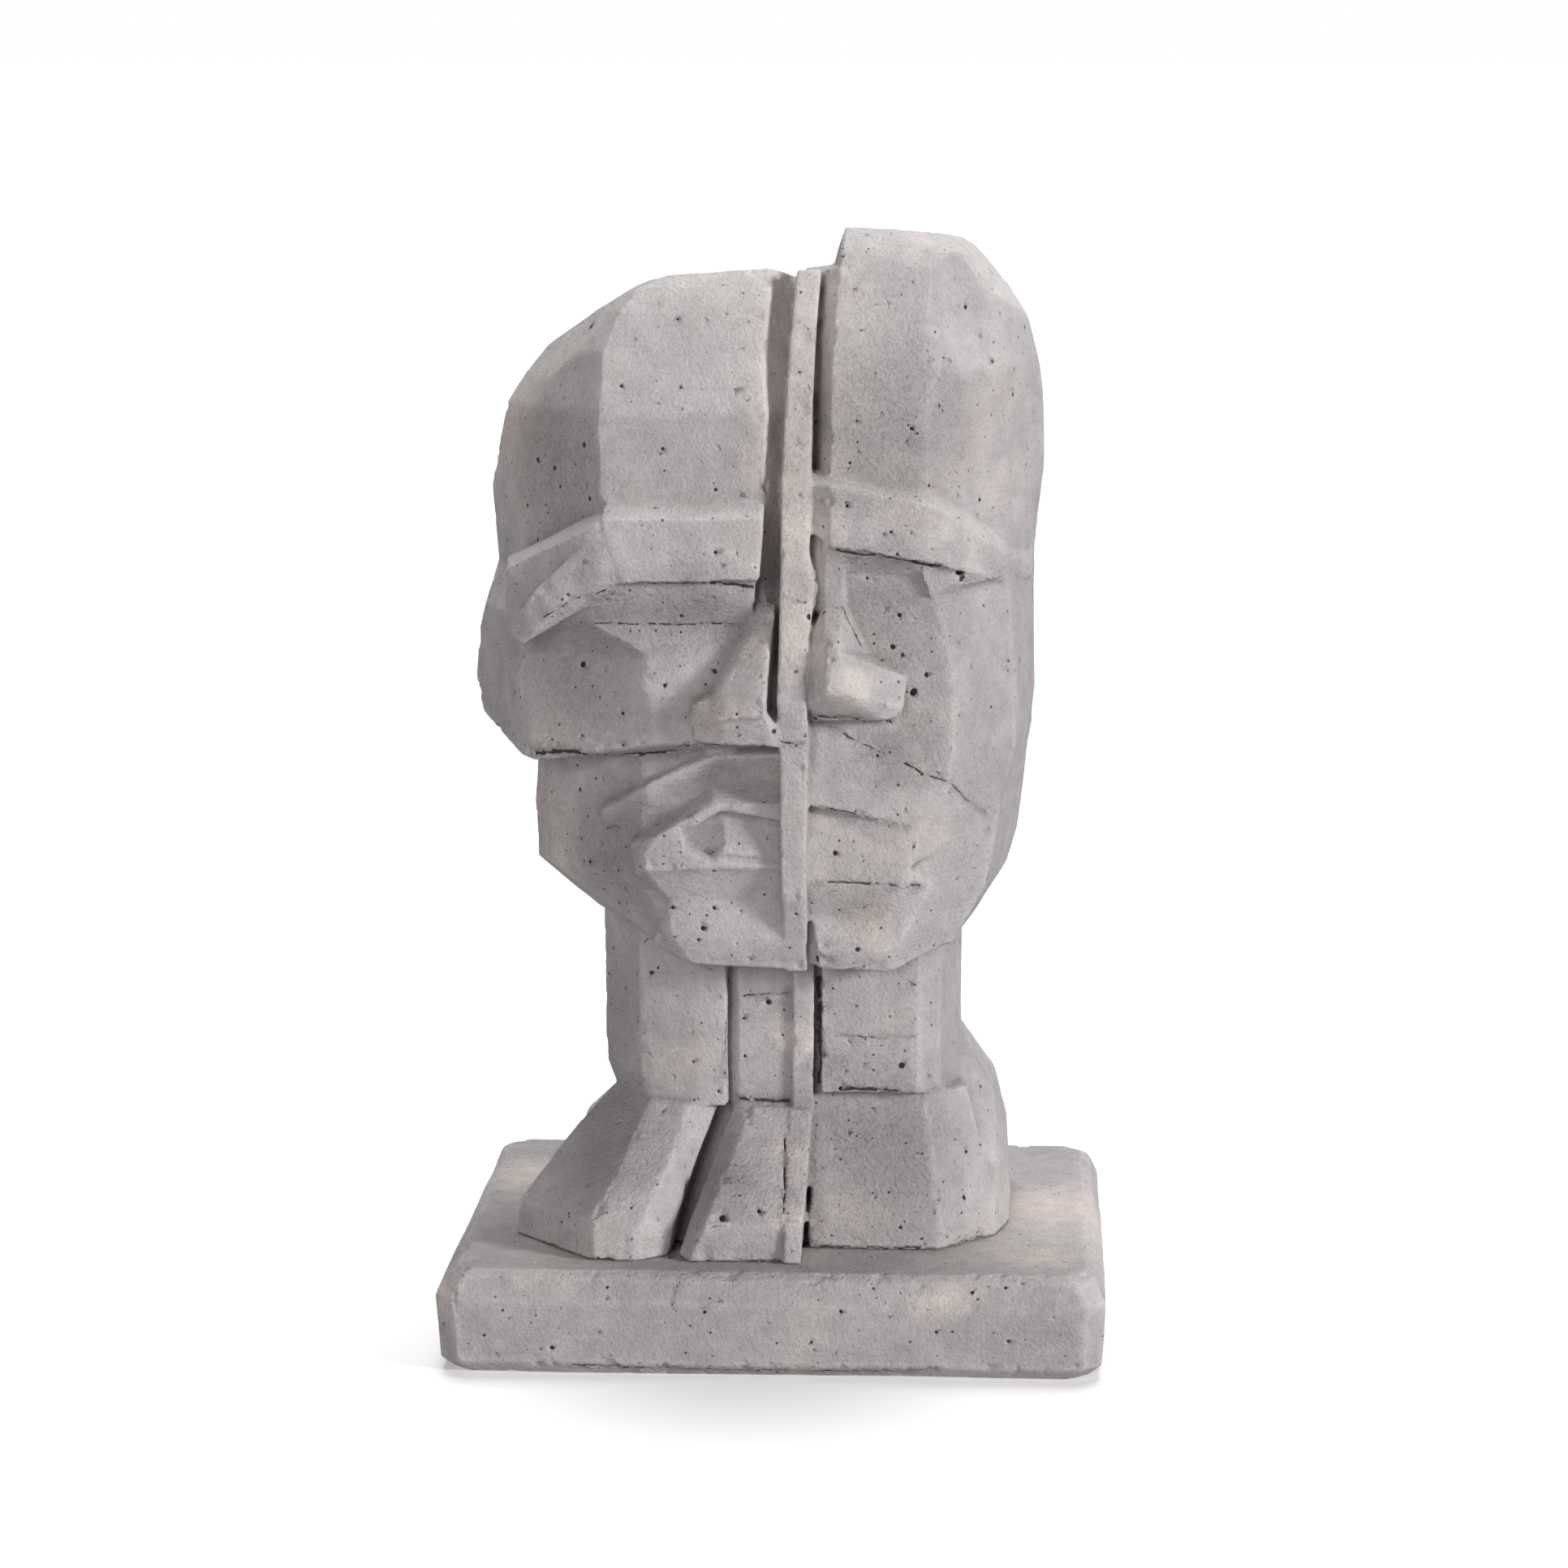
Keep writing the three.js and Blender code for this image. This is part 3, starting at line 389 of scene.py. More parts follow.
    # All of it together moves the points
    chipped = add(tree, "ShaderNodeMath", {0: skin.outputs[0], 1: inwards.outputs[0]},
                  operation="SUBTRACT")
    rise = add(tree, "ShaderNodeMath", {0: chipped.outputs[0], 1: crumb_rise.outputs[0]},
               operation="ADD")
    along = add(tree, "ShaderNodeVectorMath", {0: normal, "Scale": rise.outputs[0]},
                operation="SCALE")
    offset = add(tree, "ShaderNodeVectorMath", {0: wander.outputs[0], 1: along.outputs[0]},
                 operation="ADD")
    moved = add(tree, "GeometryNodeSetPosition", {
        "Geometry": known.outputs[0], "Offset": offset.outputs[0]})
    add(tree, "NodeGroupOutput", {"Geometry": moved.outputs[0]})
    return tree


def flaws_tree(concrete):
    """Air holes scattered over a surface, and seams and holes at given places, cut out of it."""
    tree = bpy.data.node_groups.new("Air holes and seams", "GeometryNodeTree")
    sockets = tree.interface
    sockets.new_socket("Geometry", in_out="INPUT", socket_type="NodeSocketGeometry")
    sockets.new_socket("Places", in_out="INPUT", socket_type="NodeSocketObject")
    for name in ("Spacing", "Smallest", "Largest"):
        sockets.new_socket(name, in_out="INPUT", socket_type="NodeSocketFloat")
    sockets.new_socket("Seed", in_out="INPUT", socket_type="NodeSocketInt")
    sockets.new_socket("Geometry", in_out="OUTPUT", socket_type="NodeSocketGeometry")
    given = add(tree, "NodeGroupInput").outputs

    # Air holes are balls of few faces whose insides are painted dark, partly grime and partly painted
    # shade, coarser where they are small
    balls = []
    for rounds in (1, 2):
        ball = add(tree, "GeometryNodeMeshIcoSphere", {"Radius": 1.0, "Subdivisions": rounds})
        balls.append(add(tree, "GeometryNodeStoreNamedAttribute", {
            "Geometry": ball.outputs[0], "Name": "hollow", "Value": DEEP},
            data_type="FLOAT", domain="POINT"))
    small_ball, large_ball = balls

    # Scattered holes, each a little out of round: many small ones and few large ones
    scatter = add(tree, "GeometryNodeDistributePointsOnFaces", {
        "Mesh": given["Geometry"], "Distance Min": given["Spacing"], "Density Max": 9000.0,
        "Seed": given["Seed"]}, distribute_method="POISSON")
    chance = add(tree, "FunctionNodeRandomValue", {"Seed": 3}, data_type="FLOAT")
    rare = add(tree, "ShaderNodeMath", {0: chance.outputs[1], 1: 8.0}, operation="POWER")
    size = add(tree, "ShaderNodeMapRange", {
        "Value": rare.outputs[0], "To Min": given["Smallest"], "To Max": given["Largest"]})
    turn = add(tree, "FunctionNodeRandomValue", {
        0: (0, 0, 0), 1: (FULL_TURN, FULL_TURN, FULL_TURN), "Seed": 8}, data_type="FLOAT_VECTOR")
    stretch = add(tree, "FunctionNodeRandomValue", {
        0: (0.8, 0.8, 0.8), 1: (1.25, 1.25, 1.25), "Seed": 5}, data_type="FLOAT_VECTOR")
    scale = add(tree, "ShaderNodeVectorMath", {0: stretch.outputs[0], "Scale": size.outputs[0]},
                operation="SCALE")
    holes = add(tree, "GeometryNodeInstanceOnPoints", {
        "Points": scatter.outputs[0], "Instance": small_ball.outputs[0], "Rotation": turn.outputs[0],
        "Scale": scale.outputs[0]})

    # Given places: loose points are holes, and chains of edges are seams
    places = add(tree, "GeometryNodeObjectInfo", {"Object": given["Places"]},
                 transform_space="RELATIVE").outputs["Geometry"]
    width = add(tree, "GeometryNodeInputNamedAttribute", {"Name": "half_width"}, data_type="FLOAT")
    chained = add(tree, "GeometryNodeInputNamedAttribute", {"Name": "seam"}, data_type="BOOLEAN")
    parts = add(tree, "GeometryNodeSeparateGeometry", {
        "Geometry": places, "Selection": chained.outputs["Attribute"]}, domain="POINT")
    spots = add(tree, "GeometryNodeMeshToPoints", {"Mesh": parts.outputs["Inverted"]})
    spot_size = add(tree, "ShaderNodeVectorMath", {
        0: stretch.outputs[0], "Scale": width.outputs["Attribute"]}, operation="SCALE")
    named = add(tree, "GeometryNodeInstanceOnPoints", {
        "Points": spots.outputs[0], "Instance": large_ball.outputs[0], "Rotation": turn.outputs[0],
        "Scale": spot_size.outputs[0]})

    # A seam is a thin tube along its chain, crooked and of uneven width
    chain = add(tree, "GeometryNodeMeshToCurve", {"Mesh": parts.outputs["Selection"]})
    even = add(tree, "GeometryNodeResampleCurve", {"Curve": chain.outputs[0], "Length": 0.9 * MM},
               mode="LENGTH")
    place = add(tree, "GeometryNodeInputPosition").outputs[0]
    ragged = add(tree, "ShaderNodeTexNoise", {"Vector": place, "Scale": 1 / 0.004, "Detail": 3.0})
    centred = add(tree, "ShaderNodeVectorMath", {0: ragged.outputs["Color"], 1: (0.5, 0.5, 0.5)},
                  operation="SUBTRACT")
    stray = add(tree, "ShaderNodeVectorMath", {0: centred.outputs[0], "Scale": 1.6 * MM},
                operation="SCALE")
    crooked = add(tree, "GeometryNodeSetPosition", {
        "Geometry": even.outputs[0], "Offset": stray.outputs[0]})
    pinch = add(tree, "ShaderNodeTexNoise", {"Vector": place, "Scale": 1 / 0.0024, "Detail": 2.0})
    share = add(tree, "ShaderNodeMapRange", {
        "Value": pinch.outputs[0], "From Min": 0.3, "From Max": 0.7, "To Min": 0.45, "To Max": 1.25})
    radius = add(tree, "ShaderNodeMath", {0: share.outputs[0], 1: width.outputs["Attribute"]},
                 operation="MULTIPLY")
    sized = add(tree, "GeometryNodeSetCurveRadius", {
        "Curve": crooked.outputs[0], "Radius": radius.outputs[0]})
    outline = add(tree, "GeometryNodeCurvePrimitiveCircle", {"Resolution": 6, "Radius": 1.0})
    curve_radius = add(tree, "GeometryNodeInputRadius")
    tube = add(tree, "GeometryNodeCurveToMesh", {
        "Curve": sized.outputs[0], "Profile Curve": outline.outputs[0],
        "Scale": curve_radius.outputs[0], "Fill Caps": True})
    # The tube leaves the seam's walls painted dark: partly grime, partly painted shade
    dark_tube = add(tree, "GeometryNodeStoreNamedAttribute", {
        "Geometry": tube.outputs[0], "Name": "hollow", "Value": DEEP},
        data_type="FLOAT", domain="POINT")

    cut = add(tree, "GeometryNodeMeshBoolean", {"Mesh 1": given["Geometry"]},
              operation="DIFFERENCE", solver="MANIFOLD")
    for cutter in (holes, named, dark_tube):
        tree.links.new(cutter.outputs[0], cut.inputs["Mesh 2"])
    whole = add(tree, "GeometryNodeRealizeInstances", {"Geometry": cut.outputs[0]})
    finished = add(tree, "GeometryNodeSetMaterial", {
        "Geometry": whole.outputs[0], "Material": concrete})
    add(tree, "NodeGroupOutput", {"Geometry": finished.outputs[0]})
    return tree


def set_inputs(modifier, values):
    """Sets a node modifier's inputs by the names of its tree's sockets."""
    for item in modifier.node_group.interface.items_tree:
        if item.in_out == "INPUT" and item.name in values:
            modifier[item.identifier] = values[item.name]


def merged_copy(node):
    """A CAD node's mesh with its loose triangles joined, as a new object."""
    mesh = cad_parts[node].data.copy()
    shape = bmesh.new()
    shape.from_mesh(mesh)
    bmesh.ops.remove_doubles(shape, verts=shape.verts, dist=0.01 * MM)
    shape.to_mesh(mesh)
    shape.free()
    mesh.materials.clear()
    made = bpy.data.objects.new(node + "_cast", mesh)
    bpy.context.scene.collection.objects.link(made)
    return made


def places_on(target, seams, holes):
    """Seams and holes laid on a piece from the front, as one object of chains and loose points."""
    tree = BVHTree.FromObject(target, bpy.context.evaluated_depsgraph_get())
    well_in_front = -1.0

    def touch(name, x, z):
        hit = tree.ray_cast(Vector((x * MM, well_in_front, z * MM)), Vector((0, 1, 0)))[0]
        if hit is None:
            raise ValueError(f"{name}: the piece isn't at x {x}, z {z}")
        return hit

    points = []
    edges = []
    widths = []
    chained = []
    for name, half_width, stations in seams:
        first = len(points)
        points.extend(touch(name, x, z) for x, z in stations)
        edges.extend((i, i + 1) for i in range(first, len(points) - 1))
        widths.extend([half_width * MM] * len(stations))
        chained.extend([True] * len(stations))
    for x, z, radius in holes:
        points.append(touch("air hole", x, z))
        widths.append(radius * MM)
        chained.append(False)
    mesh = bpy.data.meshes.new(target.name + "_places")
    mesh.from_pydata(points, edges, [])
    mesh.attributes.new("half_width", "FLOAT", "POINT").data.foreach_set("value", widths)
    mesh.attributes.new("seam", "BOOLEAN", "POINT").data.foreach_set("value", chained)
    made = bpy.data.objects.new(mesh.name, mesh)
    bpy.context.scene.collection.objects.link(made)
    return made


def cast_piece(node, surface, concrete, seams, holes, seed):
    """A piece in cast concrete, worked up from its solid, and set in its place."""
    piece = merged_copy(node)
    places = places_on(piece, seams, holes)
    remesh = piece.modifiers.new("Even mesh", "REMESH")
    remesh.mode = "VOXEL"
    remesh.voxel_size = surface.grain
    worn = piece.modifiers.new("Worn surface", "NODES")
    worn.node_group = bpy.data.node_groups.get(WORN_SURFACE) or worn_surface_tree()
    set_inputs(worn, {"Places": places, "Softness": surface.softness, "Waviness": surface.wave,
                      "Grit": surface.grit, "Chips": surface.chip})
    dense = bake(piece, node + "_dense")
    fewer = dense.modifiers.new("Fewer faces", "DECIMATE")
    fewer.ratio = min(1.0, surface.triangles / triangles(dense))
    flaws = dense.modifiers.new("Flaws", "NODES")
    flaws.node_group = flaws_tree(concrete)
    set_inputs(flaws, {"Places": places, "Spacing": surface.spacing, "Smallest": surface.smallest,
                       "Largest": surface.largest, "Seed": seed})
    final = bake(dense, node + "_concrete")
    if len(final.data.polygons) == 0:
        raise ValueError(node + " came out empty")
    for old in (piece, dense, places):
        bpy.data.objects.remove(old)
    final.data.shade_smooth()
    return final


def triangles(made):
    """How many triangles an object's own mesh has."""
    made.data.calc_loop_triangles()
    return len(made.data.loop_triangles)


def bake(source, name):
    """The evaluated object as a plain mesh in a new object."""
    seen = source.evaluated_get(bpy.context.evaluated_depsgraph_get())
    mesh = bpy.data.meshes.new_from_object(seen)
    mesh.name = name
    made = bpy.data.objects.new(name, mesh)
    bpy.context.scene.collection.objects.link(made)
    return made


# Materials


def nearness(tree, where, patches):
    """How near a point is to any of some patches: 1 in the middle of one, 0 outside them all."""
    share = None
    for x, y, z, radius in patches:
        away = add(tree, "ShaderNodeVectorMath", {0: where, 1: (x * MM, y * MM, z * MM)},
                   operation="DISTANCE")
        fade = add(tree, "ShaderNodeMapRange", {
            "Value": away.outputs["Value"], "From Min": 0.25 * radius * MM,
            "From Max": 1.1 * radius * MM, "To Min": 1.0, "To Max": 0.0}).outputs[0]
        if share is None:
            share = fade
        else:
            share = add(tree, "ShaderNodeMath", {0: share, 1: fade}, operation="MAXIMUM").outputs[0]
    return share


def cast_concrete(name, colours, drag_millimetres, shade):
    """Cast concrete: cement and fine sand poured in a mould, brushed clean and left bare. The eye gets
    a dull, mottled grey with fine pores, pale arrises that are partly worn and partly a painted
    highlight, painted light on faces that look up, painted shade in hollows and on undersides, and dark
    seams and air holes, partly grime and partly painted shade."""
    material = bpy.data.materials.new(name)
    material.use_nodes = True
    tree = material.node_tree
    tree.nodes.clear()
    where = add(tree, "ShaderNodeTexCoord").outputs["Object"]

    # Clouds of 45 mm and mottling of 7 mm in the cement
    clouds = add(tree, "ShaderNodeTexNoise", {
        "Vector": where, "Scale": 1 / 0.045, "Detail": 4.0, "Roughness": 0.6})
    cloudy = add(tree, "ShaderNodeMapRange", {
        "Value": clouds.outputs[0], "From Min": 0.42, "From Max": 0.66})
    mottle = add(tree, "ShaderNodeTexNoise", {
        "Vector": where, "Scale": 1 / 0.007, "Detail": 5.0, "Roughness": 0.65})
    mottled = add(tree, "ShaderNodeMapRange", {
        "Value": mottle.outputs[0], "From Min": 0.3, "From Max": 0.7, "To Min": 0.88, "To Max": 1.1})
    clouds_share = add(tree, "ShaderNodeMath", {0: cloudy.outputs[0], 1: 0.35}, operation="MULTIPLY")
    base = add(tree, "ShaderNodeMix", {
        "Factor": clouds_share.outputs[0], "A": opaque(colours.grey), "B": opaque(colours.pale)},
        data_type="RGBA")

    # The places of patches get ragged edges, and rough places take in the torn skin along seams
    ragged = add(tree, "ShaderNodeTexNoise", {
        "Vector": where, "Scale": 1 / 0.012, "Detail": 4.0, "Roughness": 0.6})
    astray = add(tree, "ShaderNodeVectorMath", {0: ragged.outputs["Color"], 1: (0.5, 0.5, 0.5)},
                 operation="SUBTRACT")
    shifted = add(tree, "ShaderNodeVectorMath", {
        0: astray.outputs[0], 1: (0.022, 0.022, 0.022), 2: where}, operation="MULTIPLY_ADD")
    torn = add(tree, "ShaderNodeAttribute", attribute_name="torn").outputs["Fac"]
    rough_place = nearness(tree, shifted.outputs[0], ROUGH)
    rough = add(tree, "ShaderNodeMath", {0: rough_place, 1: torn}, operation="MAXIMUM").outputs[0]

    # Bloom: pale cement at its places, and painted light at some of them
    bloom_and_light = nearness(tree, shifted.outputs[0], BLOOM_AND_PAINTED_LIGHT)
    bloom_and_light_share = add(tree, "ShaderNodeMath", {0: bloom_and_light, 1: 0.6}, operation="MULTIPLY")
    bloomed_and_lit = add(tree, "ShaderNodeMix", {
        "Factor": bloom_and_light_share.outputs[0], "A": base.outputs["Result"], "B": opaque(colours.pale)},
        data_type="RGBA")

    # Warm patches, at their places and in clouds of 50 mm
    placed = nearness(tree, shifted.outputs[0], PATCHES)
    placed_share = add(tree, "ShaderNodeMath", {0: placed, 1: 0.9}, operation="MULTIPLY")
    patches = add(tree, "ShaderNodeTexNoise", {
        "Vector": where, "Scale": 1 / 0.05, "Detail": 4.0, "Roughness": 0.6})
    patchy = add(tree, "ShaderNodeMapRange", {
        "Value": patches.outputs[0], "From Min": 0.52, "From Max": 0.75, "To Max": 0.5})
    warm_share = add(tree, "ShaderNodeMath", {0: placed_share.outputs[0], 1: patchy.outputs[0]},
                     operation="MAXIMUM")
    warmed = add(tree, "ShaderNodeMix", {
        "Factor": warm_share.outputs[0], "A": bloomed_and_lit.outputs["Result"], "B": opaque(colours.warm)},
        data_type="RGBA")

    # Arrises are made pale, partly as wear and partly as a painted highlight; faces that look up are
    # made pale as painted light from above, mostly from the brows up. Hollows hold dust and are
    # darkened as painted shade, undersides are darkened as painted shade, and the deepest grooves,
    # seams and air holes go dark, partly grime and partly painted shade
    hollow = add(tree, "ShaderNodeAttribute", attribute_name="hollow").outputs["Fac"]
    # Arrises: pale partly from wear and partly as a painted highlight
    arris = add(tree, "ShaderNodeMapRange", {
        "Value": hollow, "From Min": -0.12, "From Max": -0.6, "To Min": 0.0, "To Max": 0.45})
    upward = add(tree, "ShaderNodeAttribute", attribute_name="upward").outputs["Fac"]
    # Faces that look up: painted light from above, stronger from the brows up
    above_floor = add(tree, "ShaderNodeSeparateXYZ", {0: where}).outputs["Z"]
    top_light_by_height = add(tree, "ShaderNodeMapRange", {
        "Value": above_floor, "From Min": 0.235, "From Max": 0.255, "To Min": 0.15, "To Max": 0.85})
    settled = add(tree, "ShaderNodeMapRange", {
        "Value": upward, "From Min": 0.1, "From Max": 0.5, "To Min": 0.0, "To Max": top_light_by_height.outputs[0]})
    wear_and_painted_light = add(tree, "ShaderNodeMath", {0: arris.outputs[0], 1: settled.outputs[0]},
                  operation="MAXIMUM")
    paler_worn_and_lit = add(tree, "ShaderNodeMix", {
        "Factor": wear_and_painted_light.outputs[0], "A": warmed.outputs["Result"], "B": opaque(colours.pale)},
        data_type="RGBA")
    # Hollows: grey dust, and painted shade where less light reaches
    dust_and_painted_shade = add(tree, "ShaderNodeMapRange", {
        "Value": hollow, "From Min": 0.2, "From Max": 1.1, "To Min": 0.0, "To Max": 0.65})
    # Undersides: painted shade
    painted_underside_shade = add(tree, "ShaderNodeMapRange", {
        "Value": upward, "From Min": -0.1, "From Max": -0.7, "To Min": 0.0, "To Max": 0.35})
    darker = add(tree, "ShaderNodeMath", {0: dust_and_painted_shade.outputs[0], 1: painted_underside_shade.outputs[0]},
                 operation="MAXIMUM")
    dusted_and_shaded = add(tree, "ShaderNodeMix", {
        "Factor": darker.outputs[0], "A": paler_worn_and_lit.outputs["Result"], "B": opaque(colours.silt_and_shade)},
        data_type="RGBA")
    # Deep grooves and the insides of seams and air holes: dark, partly grime and partly painted shade
    groove = add(tree, "ShaderNodeMapRange", {
        "Value": hollow, "From Min": 1.4, "From Max": 2.4, "To Min": 0.0, "To Max": 0.9})
    dirty_and_shadowed = add(tree, "ShaderNodeMix", {
        "Factor": groove.outputs[0], "A": dusted_and_shaded.outputs["Result"], "B": opaque(colours.dirt_and_shadow)},
        data_type="RGBA")

    # Pores in some cells of a 2.6 mm cell pattern, and in more of them where the skin is rough
    cells = add(tree, "ShaderNodeTexVoronoi", {"Vector": where, "Scale": 1 / 0.0026})
    cell_kind = add(tree, "ShaderNodeSeparateColor", {"Color": cells.outputs["Color"]})
    fewest = add(tree, "ShaderNodeMapRange", {"Value": rough, "To Min": 0.7, "To Max": 0.38})
    has_pore = add(tree, "ShaderNodeMapRange", {
        "Value": cell_kind.outputs[0], "From Min": fewest.outputs[0], "From Max": 0.99, "To Min": 0.0,
        "To Max": 0.21})
    near = add(tree, "ShaderNodeMath", {0: has_pore.outputs[0], 1: cells.outputs["Distance"]},
               operation="SUBTRACT")
    pore = add(tree, "ShaderNodeMapRange", {
        "Value": near.outputs[0], "From Min": 0.0, "From Max": 0.07, "To Min": 0.0, "To Max": 1.0})
    pore_share = add(tree, "ShaderNodeMath", {0: pore.outputs[0], 1: 0.85}, operation="MULTIPLY")
    pored = add(tree, "ShaderNodeMix", {
        "Factor": pore_share.outputs[0], "A": dirty_and_shadowed.outputs["Result"], "B": opaque(colours.dirt_and_shadow)},
        data_type="RGBA")

    # Grit of 1.3 mm, higher where the skin is rough, and darker in its pits
    grit = add(tree, "ShaderNodeTexNoise", {
        "Vector": where, "Scale": 1 / 0.0013, "Detail": 4.0, "Roughness": 0.75})
    grit_most = add(tree, "ShaderNodeMapRange", {
        "Value": rough, "To Min": 1.5 * MM, "To Max": 3.2 * MM})
    grit_height = add(tree, "ShaderNodeMath", {0: grit.outputs[0], 1: grit_most.outputs[0]},
                      operation="MULTIPLY")
    darkest = add(tree, "ShaderNodeMapRange", {"Value": rough, "To Min": 0.88, "To Max": 0.76})
    pitted = add(tree, "ShaderNodeMapRange", {
        "Value": grit.outputs[0], "From Min": 0.36, "From Max": 0.54, "To Min": darkest.outputs[0],
        "To Max": 1.03})
    # The whole piece is darkened by its factor, on the slab as painted shade; rough places are a little
    # duller
    dull = add(tree, "ShaderNodeMapRange", {"Value": rough, "To Min": shade, "To Max": 0.97 * shade})
    dulled = add(tree, "ShaderNodeMath", {0: mottled.outputs[0], 1: dull.outputs[0]},
                 operation="MULTIPLY")
    tone = add(tree, "ShaderNodeMath", {0: dulled.outputs[0], 1: pitted.outputs[0]},
               operation="MULTIPLY")
    toned = add(tree, "ShaderNodeVectorMath", {
        0: pored.outputs["Result"], "Scale": tone.outputs[0]}, operation="SCALE")

    # Drag marks a little off the level, 22 mm long and 1.7 mm high, in patches of 30 mm
    slanted = add(tree, "ShaderNodeMapping", {"Vector": where, "Rotation": (0.0, 0.05, 0.0)})
    dragged = add(tree, "ShaderNodeMapping", {
        "Vector": slanted.outputs[0], "Scale": (45.0, 45.0, 600.0)})
    drag = add(tree, "ShaderNodeTexNoise", {
        "Vector": dragged.outputs[0], "Scale": 1.0, "Detail": 4.0, "Roughness": 0.7, "Distortion": 0.6})
    rubbed = add(tree, "ShaderNodeTexNoise", {"Vector": where, "Scale": 1 / 0.03, "Detail": 2.0})
    rub = add(tree, "ShaderNodeMapRange", {
        "Value": rubbed.outputs[0], "From Min": 0.42, "From Max": 0.62, "To Min": 0.1,
        "To Max": drag_millimetres})
    drag_marks = add(tree, "ShaderNodeMath", {0: drag.outputs[0], 1: rub.outputs[0]},
                     operation="MULTIPLY")
    drag_height = add(tree, "ShaderNodeMath", {0: drag_marks.outputs[0], 1: MM}, operation="MULTIPLY")

    # Grit, drag marks and pores together make the fine relief of a matt skin
    pore_height = add(tree, "ShaderNodeMath", {0: pore.outputs[0], 1: -0.5 * MM}, operation="MULTIPLY")
    skin = add(tree, "ShaderNodeMath", {0: grit_height.outputs[0], 1: drag_height.outputs[0]},
               operation="ADD")
    relief = add(tree, "ShaderNodeMath", {0: skin.outputs[0], 1: pore_height.outputs[0]},
                 operation="ADD")
    bump = add(tree, "ShaderNodeBump", {"Height": relief.outputs[0], "Strength": 0.9, "Distance": 1.0})
    shader = add(tree, "ShaderNodeBsdfPrincipled", {
        "Base Color": toned.outputs[0], "Roughness": 0.9, "Specular IOR Level": 0.35,
        "Normal": bump.outputs[0]})
    add(tree, "ShaderNodeOutputMaterial", {"Surface": shader.outputs[0]})
    return material


def matt_floor(colour):
    """Painted board: a pale studio floor with no gloss. It glows a little, so that it meets the
    bright background without an edge."""
    material = bpy.data.materials.new("Studio floor")
    material.use_nodes = True
    shader = material.node_tree.nodes["Principled BSDF"]
    shader.inputs["Base Color"].default_value = opaque(colour)
    shader.inputs["Roughness"].default_value = 0.9
    shader.inputs["Specular IOR Level"].default_value = 0.1
    shader.inputs["Emission Color"].default_value = (1.0, 1.0, 1.0, 1.0)
    shader.inputs["Emission Strength"].default_value = FLOOR_GLOW
    return material


# Pieces


class SCULPTURE_OT_head(bpy.types.Operator):
    """Cast the split head, with its seams and air holes"""
    bl_idname = "sculpture.head"
    bl_label = "Cast Head"

    def execute(self, context):
        scene = context.scene
        concrete = cast_concrete("Bare cast concrete", scene.sculpture_concrete, HEAD_DRAG, HEAD_SHADE)
        piece = cast_piece("head", scene.sculpture_head, concrete, SEAMS, AIR_HOLES, HEAD_SEED)
        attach(piece, "root")
        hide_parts("head")
        return {"FINISHED"}


class SCULPTURE_OT_plinth(bpy.types.Operator):
    """Cast the slab that the head stands on"""
    bl_idname = "sculpture.plinth"
    bl_label = "Cast Slab"

    def execute(self, context):
        scene = context.scene
        concrete = cast_concrete(
            "Trowelled cast concrete", scene.sculpture_concrete, SLAB_DRAG, SLAB_SHADE)
        piece = cast_piece(
            "plinth", scene.sculpture_slab, concrete, SLAB_SEAMS, SLAB_AIR_HOLES, SLAB_SEED)
        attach(piece, "root")
        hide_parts("plinth")
        return {"FINISHED"}


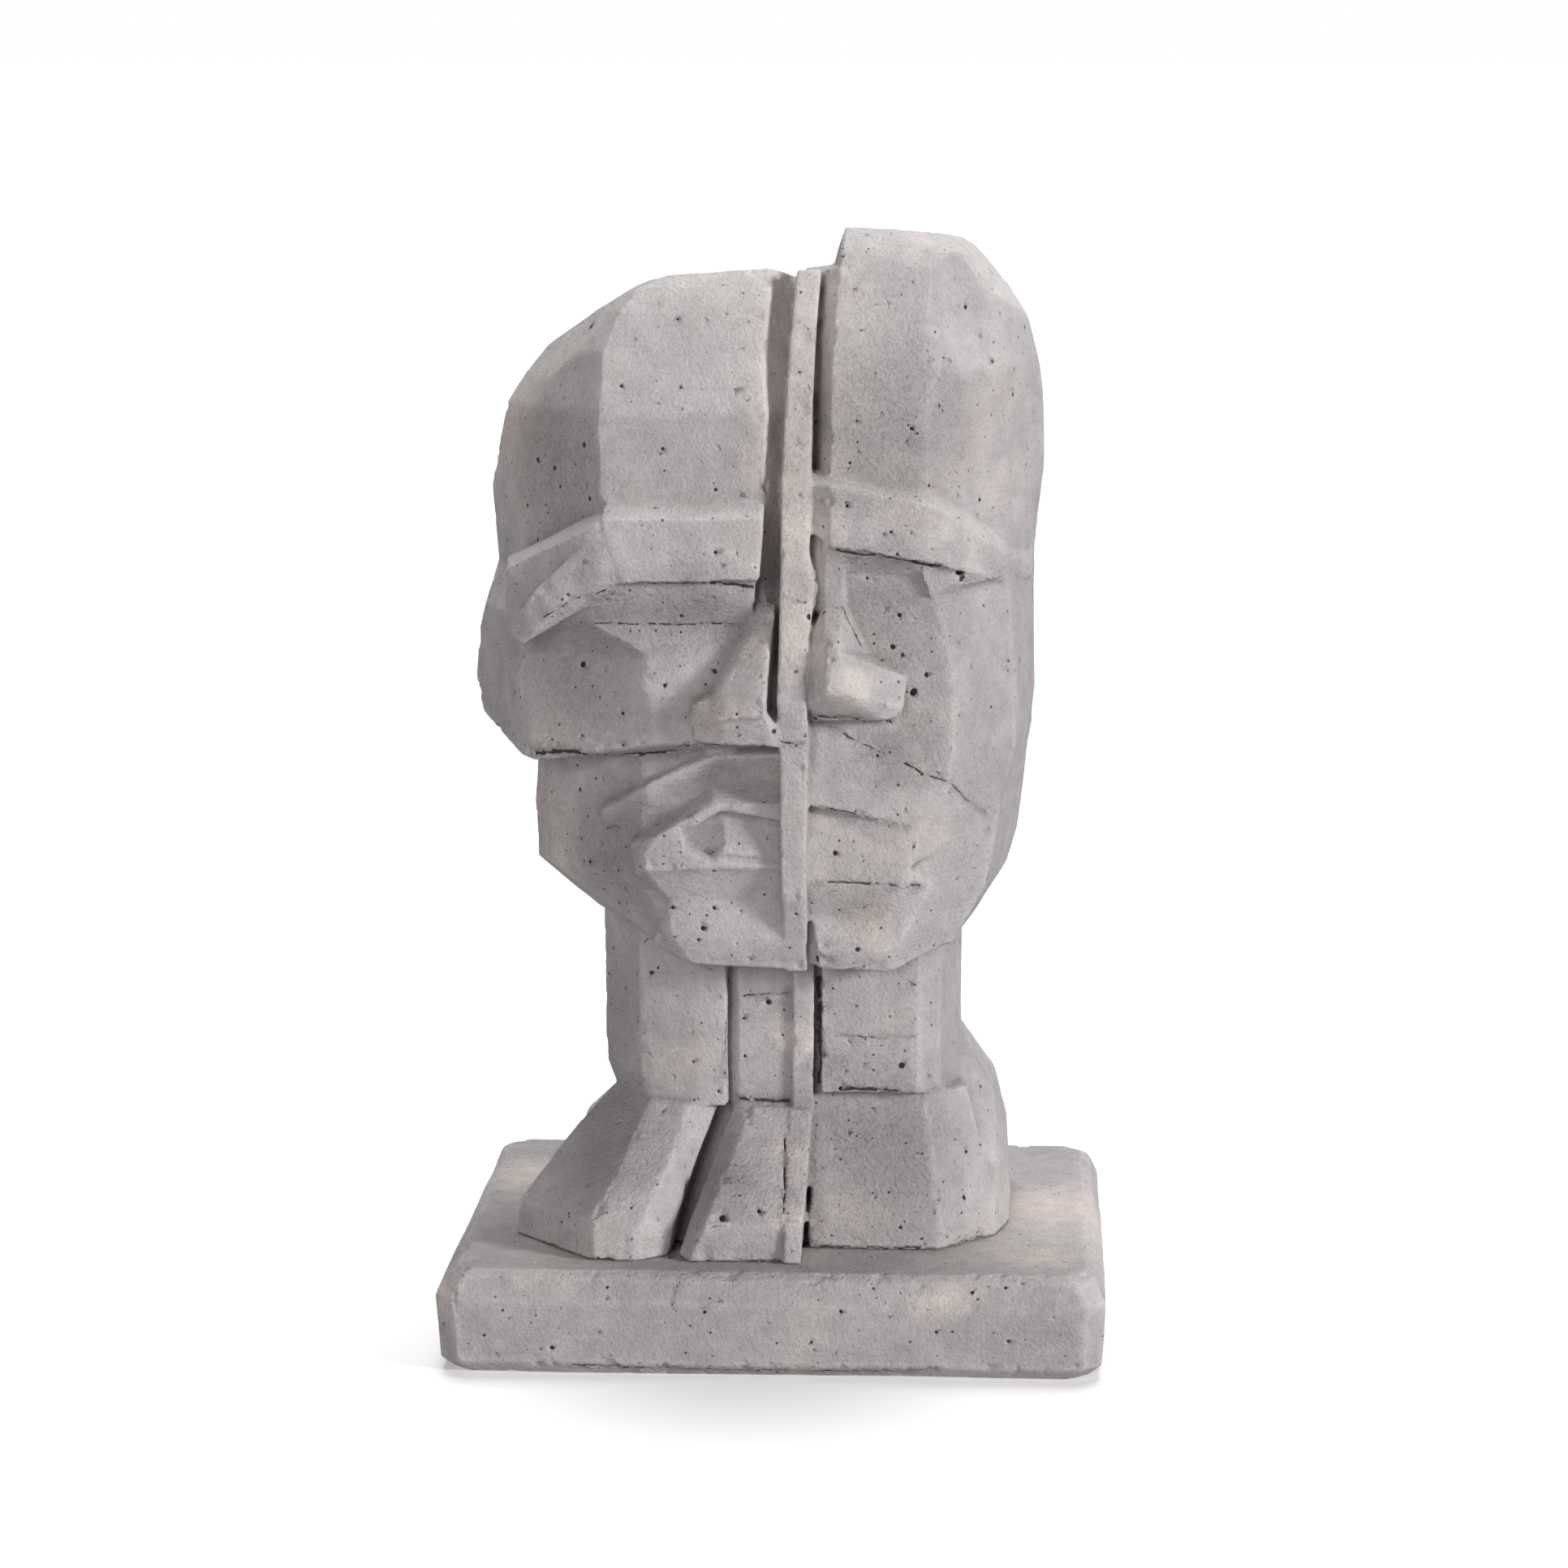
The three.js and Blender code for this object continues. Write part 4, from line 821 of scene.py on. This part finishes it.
class SCULPTURE_OT_stage(bpy.types.Operator):
    """Set up the pale floor, the soft light and the camera"""
    bl_idname = "sculpture.stage"
    bl_label = "Set Stage"

    def execute(self, context):
        scene = context.scene
        settings = scene.sculpture_stage
        corners = [(-FLOOR_HALF, -FLOOR_HALF, 0), (FLOOR_HALF, -FLOOR_HALF, 0),
                   (FLOOR_HALF, FLOOR_HALF, 0), (-FLOOR_HALF, FLOOR_HALF, 0)]
        mesh = bpy.data.meshes.new("floor")
        mesh.from_pydata(corners, [], [(0, 1, 2, 3)])
        mesh.materials.append(matt_floor(settings.floor_colour))
        floor = bpy.data.objects.new("floor", mesh)
        floor.visible_diffuse = False
        scene.collection.objects.link(floor)

        # Light from all round, white to the camera, and thrown back up by the floor
        world = bpy.data.worlds.new("Studio")
        world.use_nodes = True
        scene.world = world
        tree = world.node_tree
        tree.nodes.clear()
        towards = add(tree, "ShaderNodeTexCoord").outputs["Generated"]
        height = add(tree, "ShaderNodeSeparateXYZ", {"Vector": towards}).outputs["Z"]
        above = add(tree, "ShaderNodeMath", {0: height, 1: 0.0}, operation="GREATER_THAN")
        round_about = add(tree, "ShaderNodeMix", {
            "Factor": above.outputs[0], "A": settings.bounce, "B": settings.sky}, data_type="FLOAT")
        seen = add(tree, "ShaderNodeLightPath").outputs["Is Camera Ray"]
        strength = add(tree, "ShaderNodeMix", {
            "Factor": seen, "A": round_about.outputs["Result"], "B": 1.0}, data_type="FLOAT")
        sky = add(tree, "ShaderNodeBackground", {
            "Color": (1.0, 1.0, 1.0, 1.0), "Strength": strength.outputs["Result"]})
        add(tree, "ShaderNodeOutputWorld", {"Surface": sky.outputs[0]})

        # Three soft lights: power, then azimuth, elevation and width in degrees
        for name, power, azimuth, elevation, spread in (
                ("side light", settings.side, 65, 15, 12),
                ("fill light", settings.fill, -15, 15, 25),
                ("top light", settings.top, 180, 70, 34)):
            light = bpy.data.lights.new(name, "SUN")
            light.energy = power
            light.angle = math.radians(spread)
            lamp = bpy.data.objects.new(name, light)
            lamp.rotation_euler = (math.radians(90 - elevation), 0, math.radians(azimuth))
            scene.collection.objects.link(lamp)

        lens = bpy.data.cameras.new("camera")
        lens.lens = CAMERA_LENS
        lens.sensor_width = CAMERA_SENSOR
        lens.clip_end = CAMERA_REACH
        camera = bpy.data.objects.new("camera", lens)
        camera.location = CAMERA_PLACE
        camera.rotation_euler = [math.radians(angle) for angle in CAMERA_TURN]
        scene.collection.objects.link(camera)
        scene.camera = camera
        scene.view_settings.view_transform = "Standard"
        return {"FINISHED"}


class SCULPTURE_PT_panel(bpy.types.Panel):
    """Lists the pieces of the sculpture and the stage"""
    bl_label = "Split Head Sculpture"
    bl_idname = "SCULPTURE_PT_panel"
    bl_space_type = "VIEW_3D"
    bl_region_type = "UI"
    bl_category = "Sculpture"

    def draw(self, context):
        for operator in OPERATORS:
            self.layout.operator(operator.bl_idname)


OPERATORS = (SCULPTURE_OT_head, SCULPTURE_OT_plinth, SCULPTURE_OT_stage)
CLASSES = (ConcreteSettings, SurfaceSettings, StageSettings, *OPERATORS, SCULPTURE_PT_panel)


def register():
    """Registers the classes and hangs their settings on the scene."""
    for kind in CLASSES:
        bpy.utils.register_class(kind)
    bpy.types.Scene.sculpture_concrete = PointerProperty(type=ConcreteSettings)
    bpy.types.Scene.sculpture_head = PointerProperty(type=SurfaceSettings)
    bpy.types.Scene.sculpture_slab = PointerProperty(type=SurfaceSettings)
    bpy.types.Scene.sculpture_stage = PointerProperty(type=StageSettings)


def unregister():
    """Takes the settings off the scene and unregisters the classes."""
    for name in ("concrete", "head", "slab", "stage"):
        delattr(bpy.types.Scene, "sculpture_" + name)
    for kind in reversed(CLASSES):
        bpy.utils.unregister_class(kind)


def main():
    """Builds the head, the slab and the stage."""
    register()
    bpy.context.scene.sculpture_slab.triangles = SLAB_TRIANGLES
    bpy.ops.sculpture.head()
    bpy.ops.sculpture.plinth()
    bpy.ops.sculpture.stage()


if __name__ == "__main__":
    main()
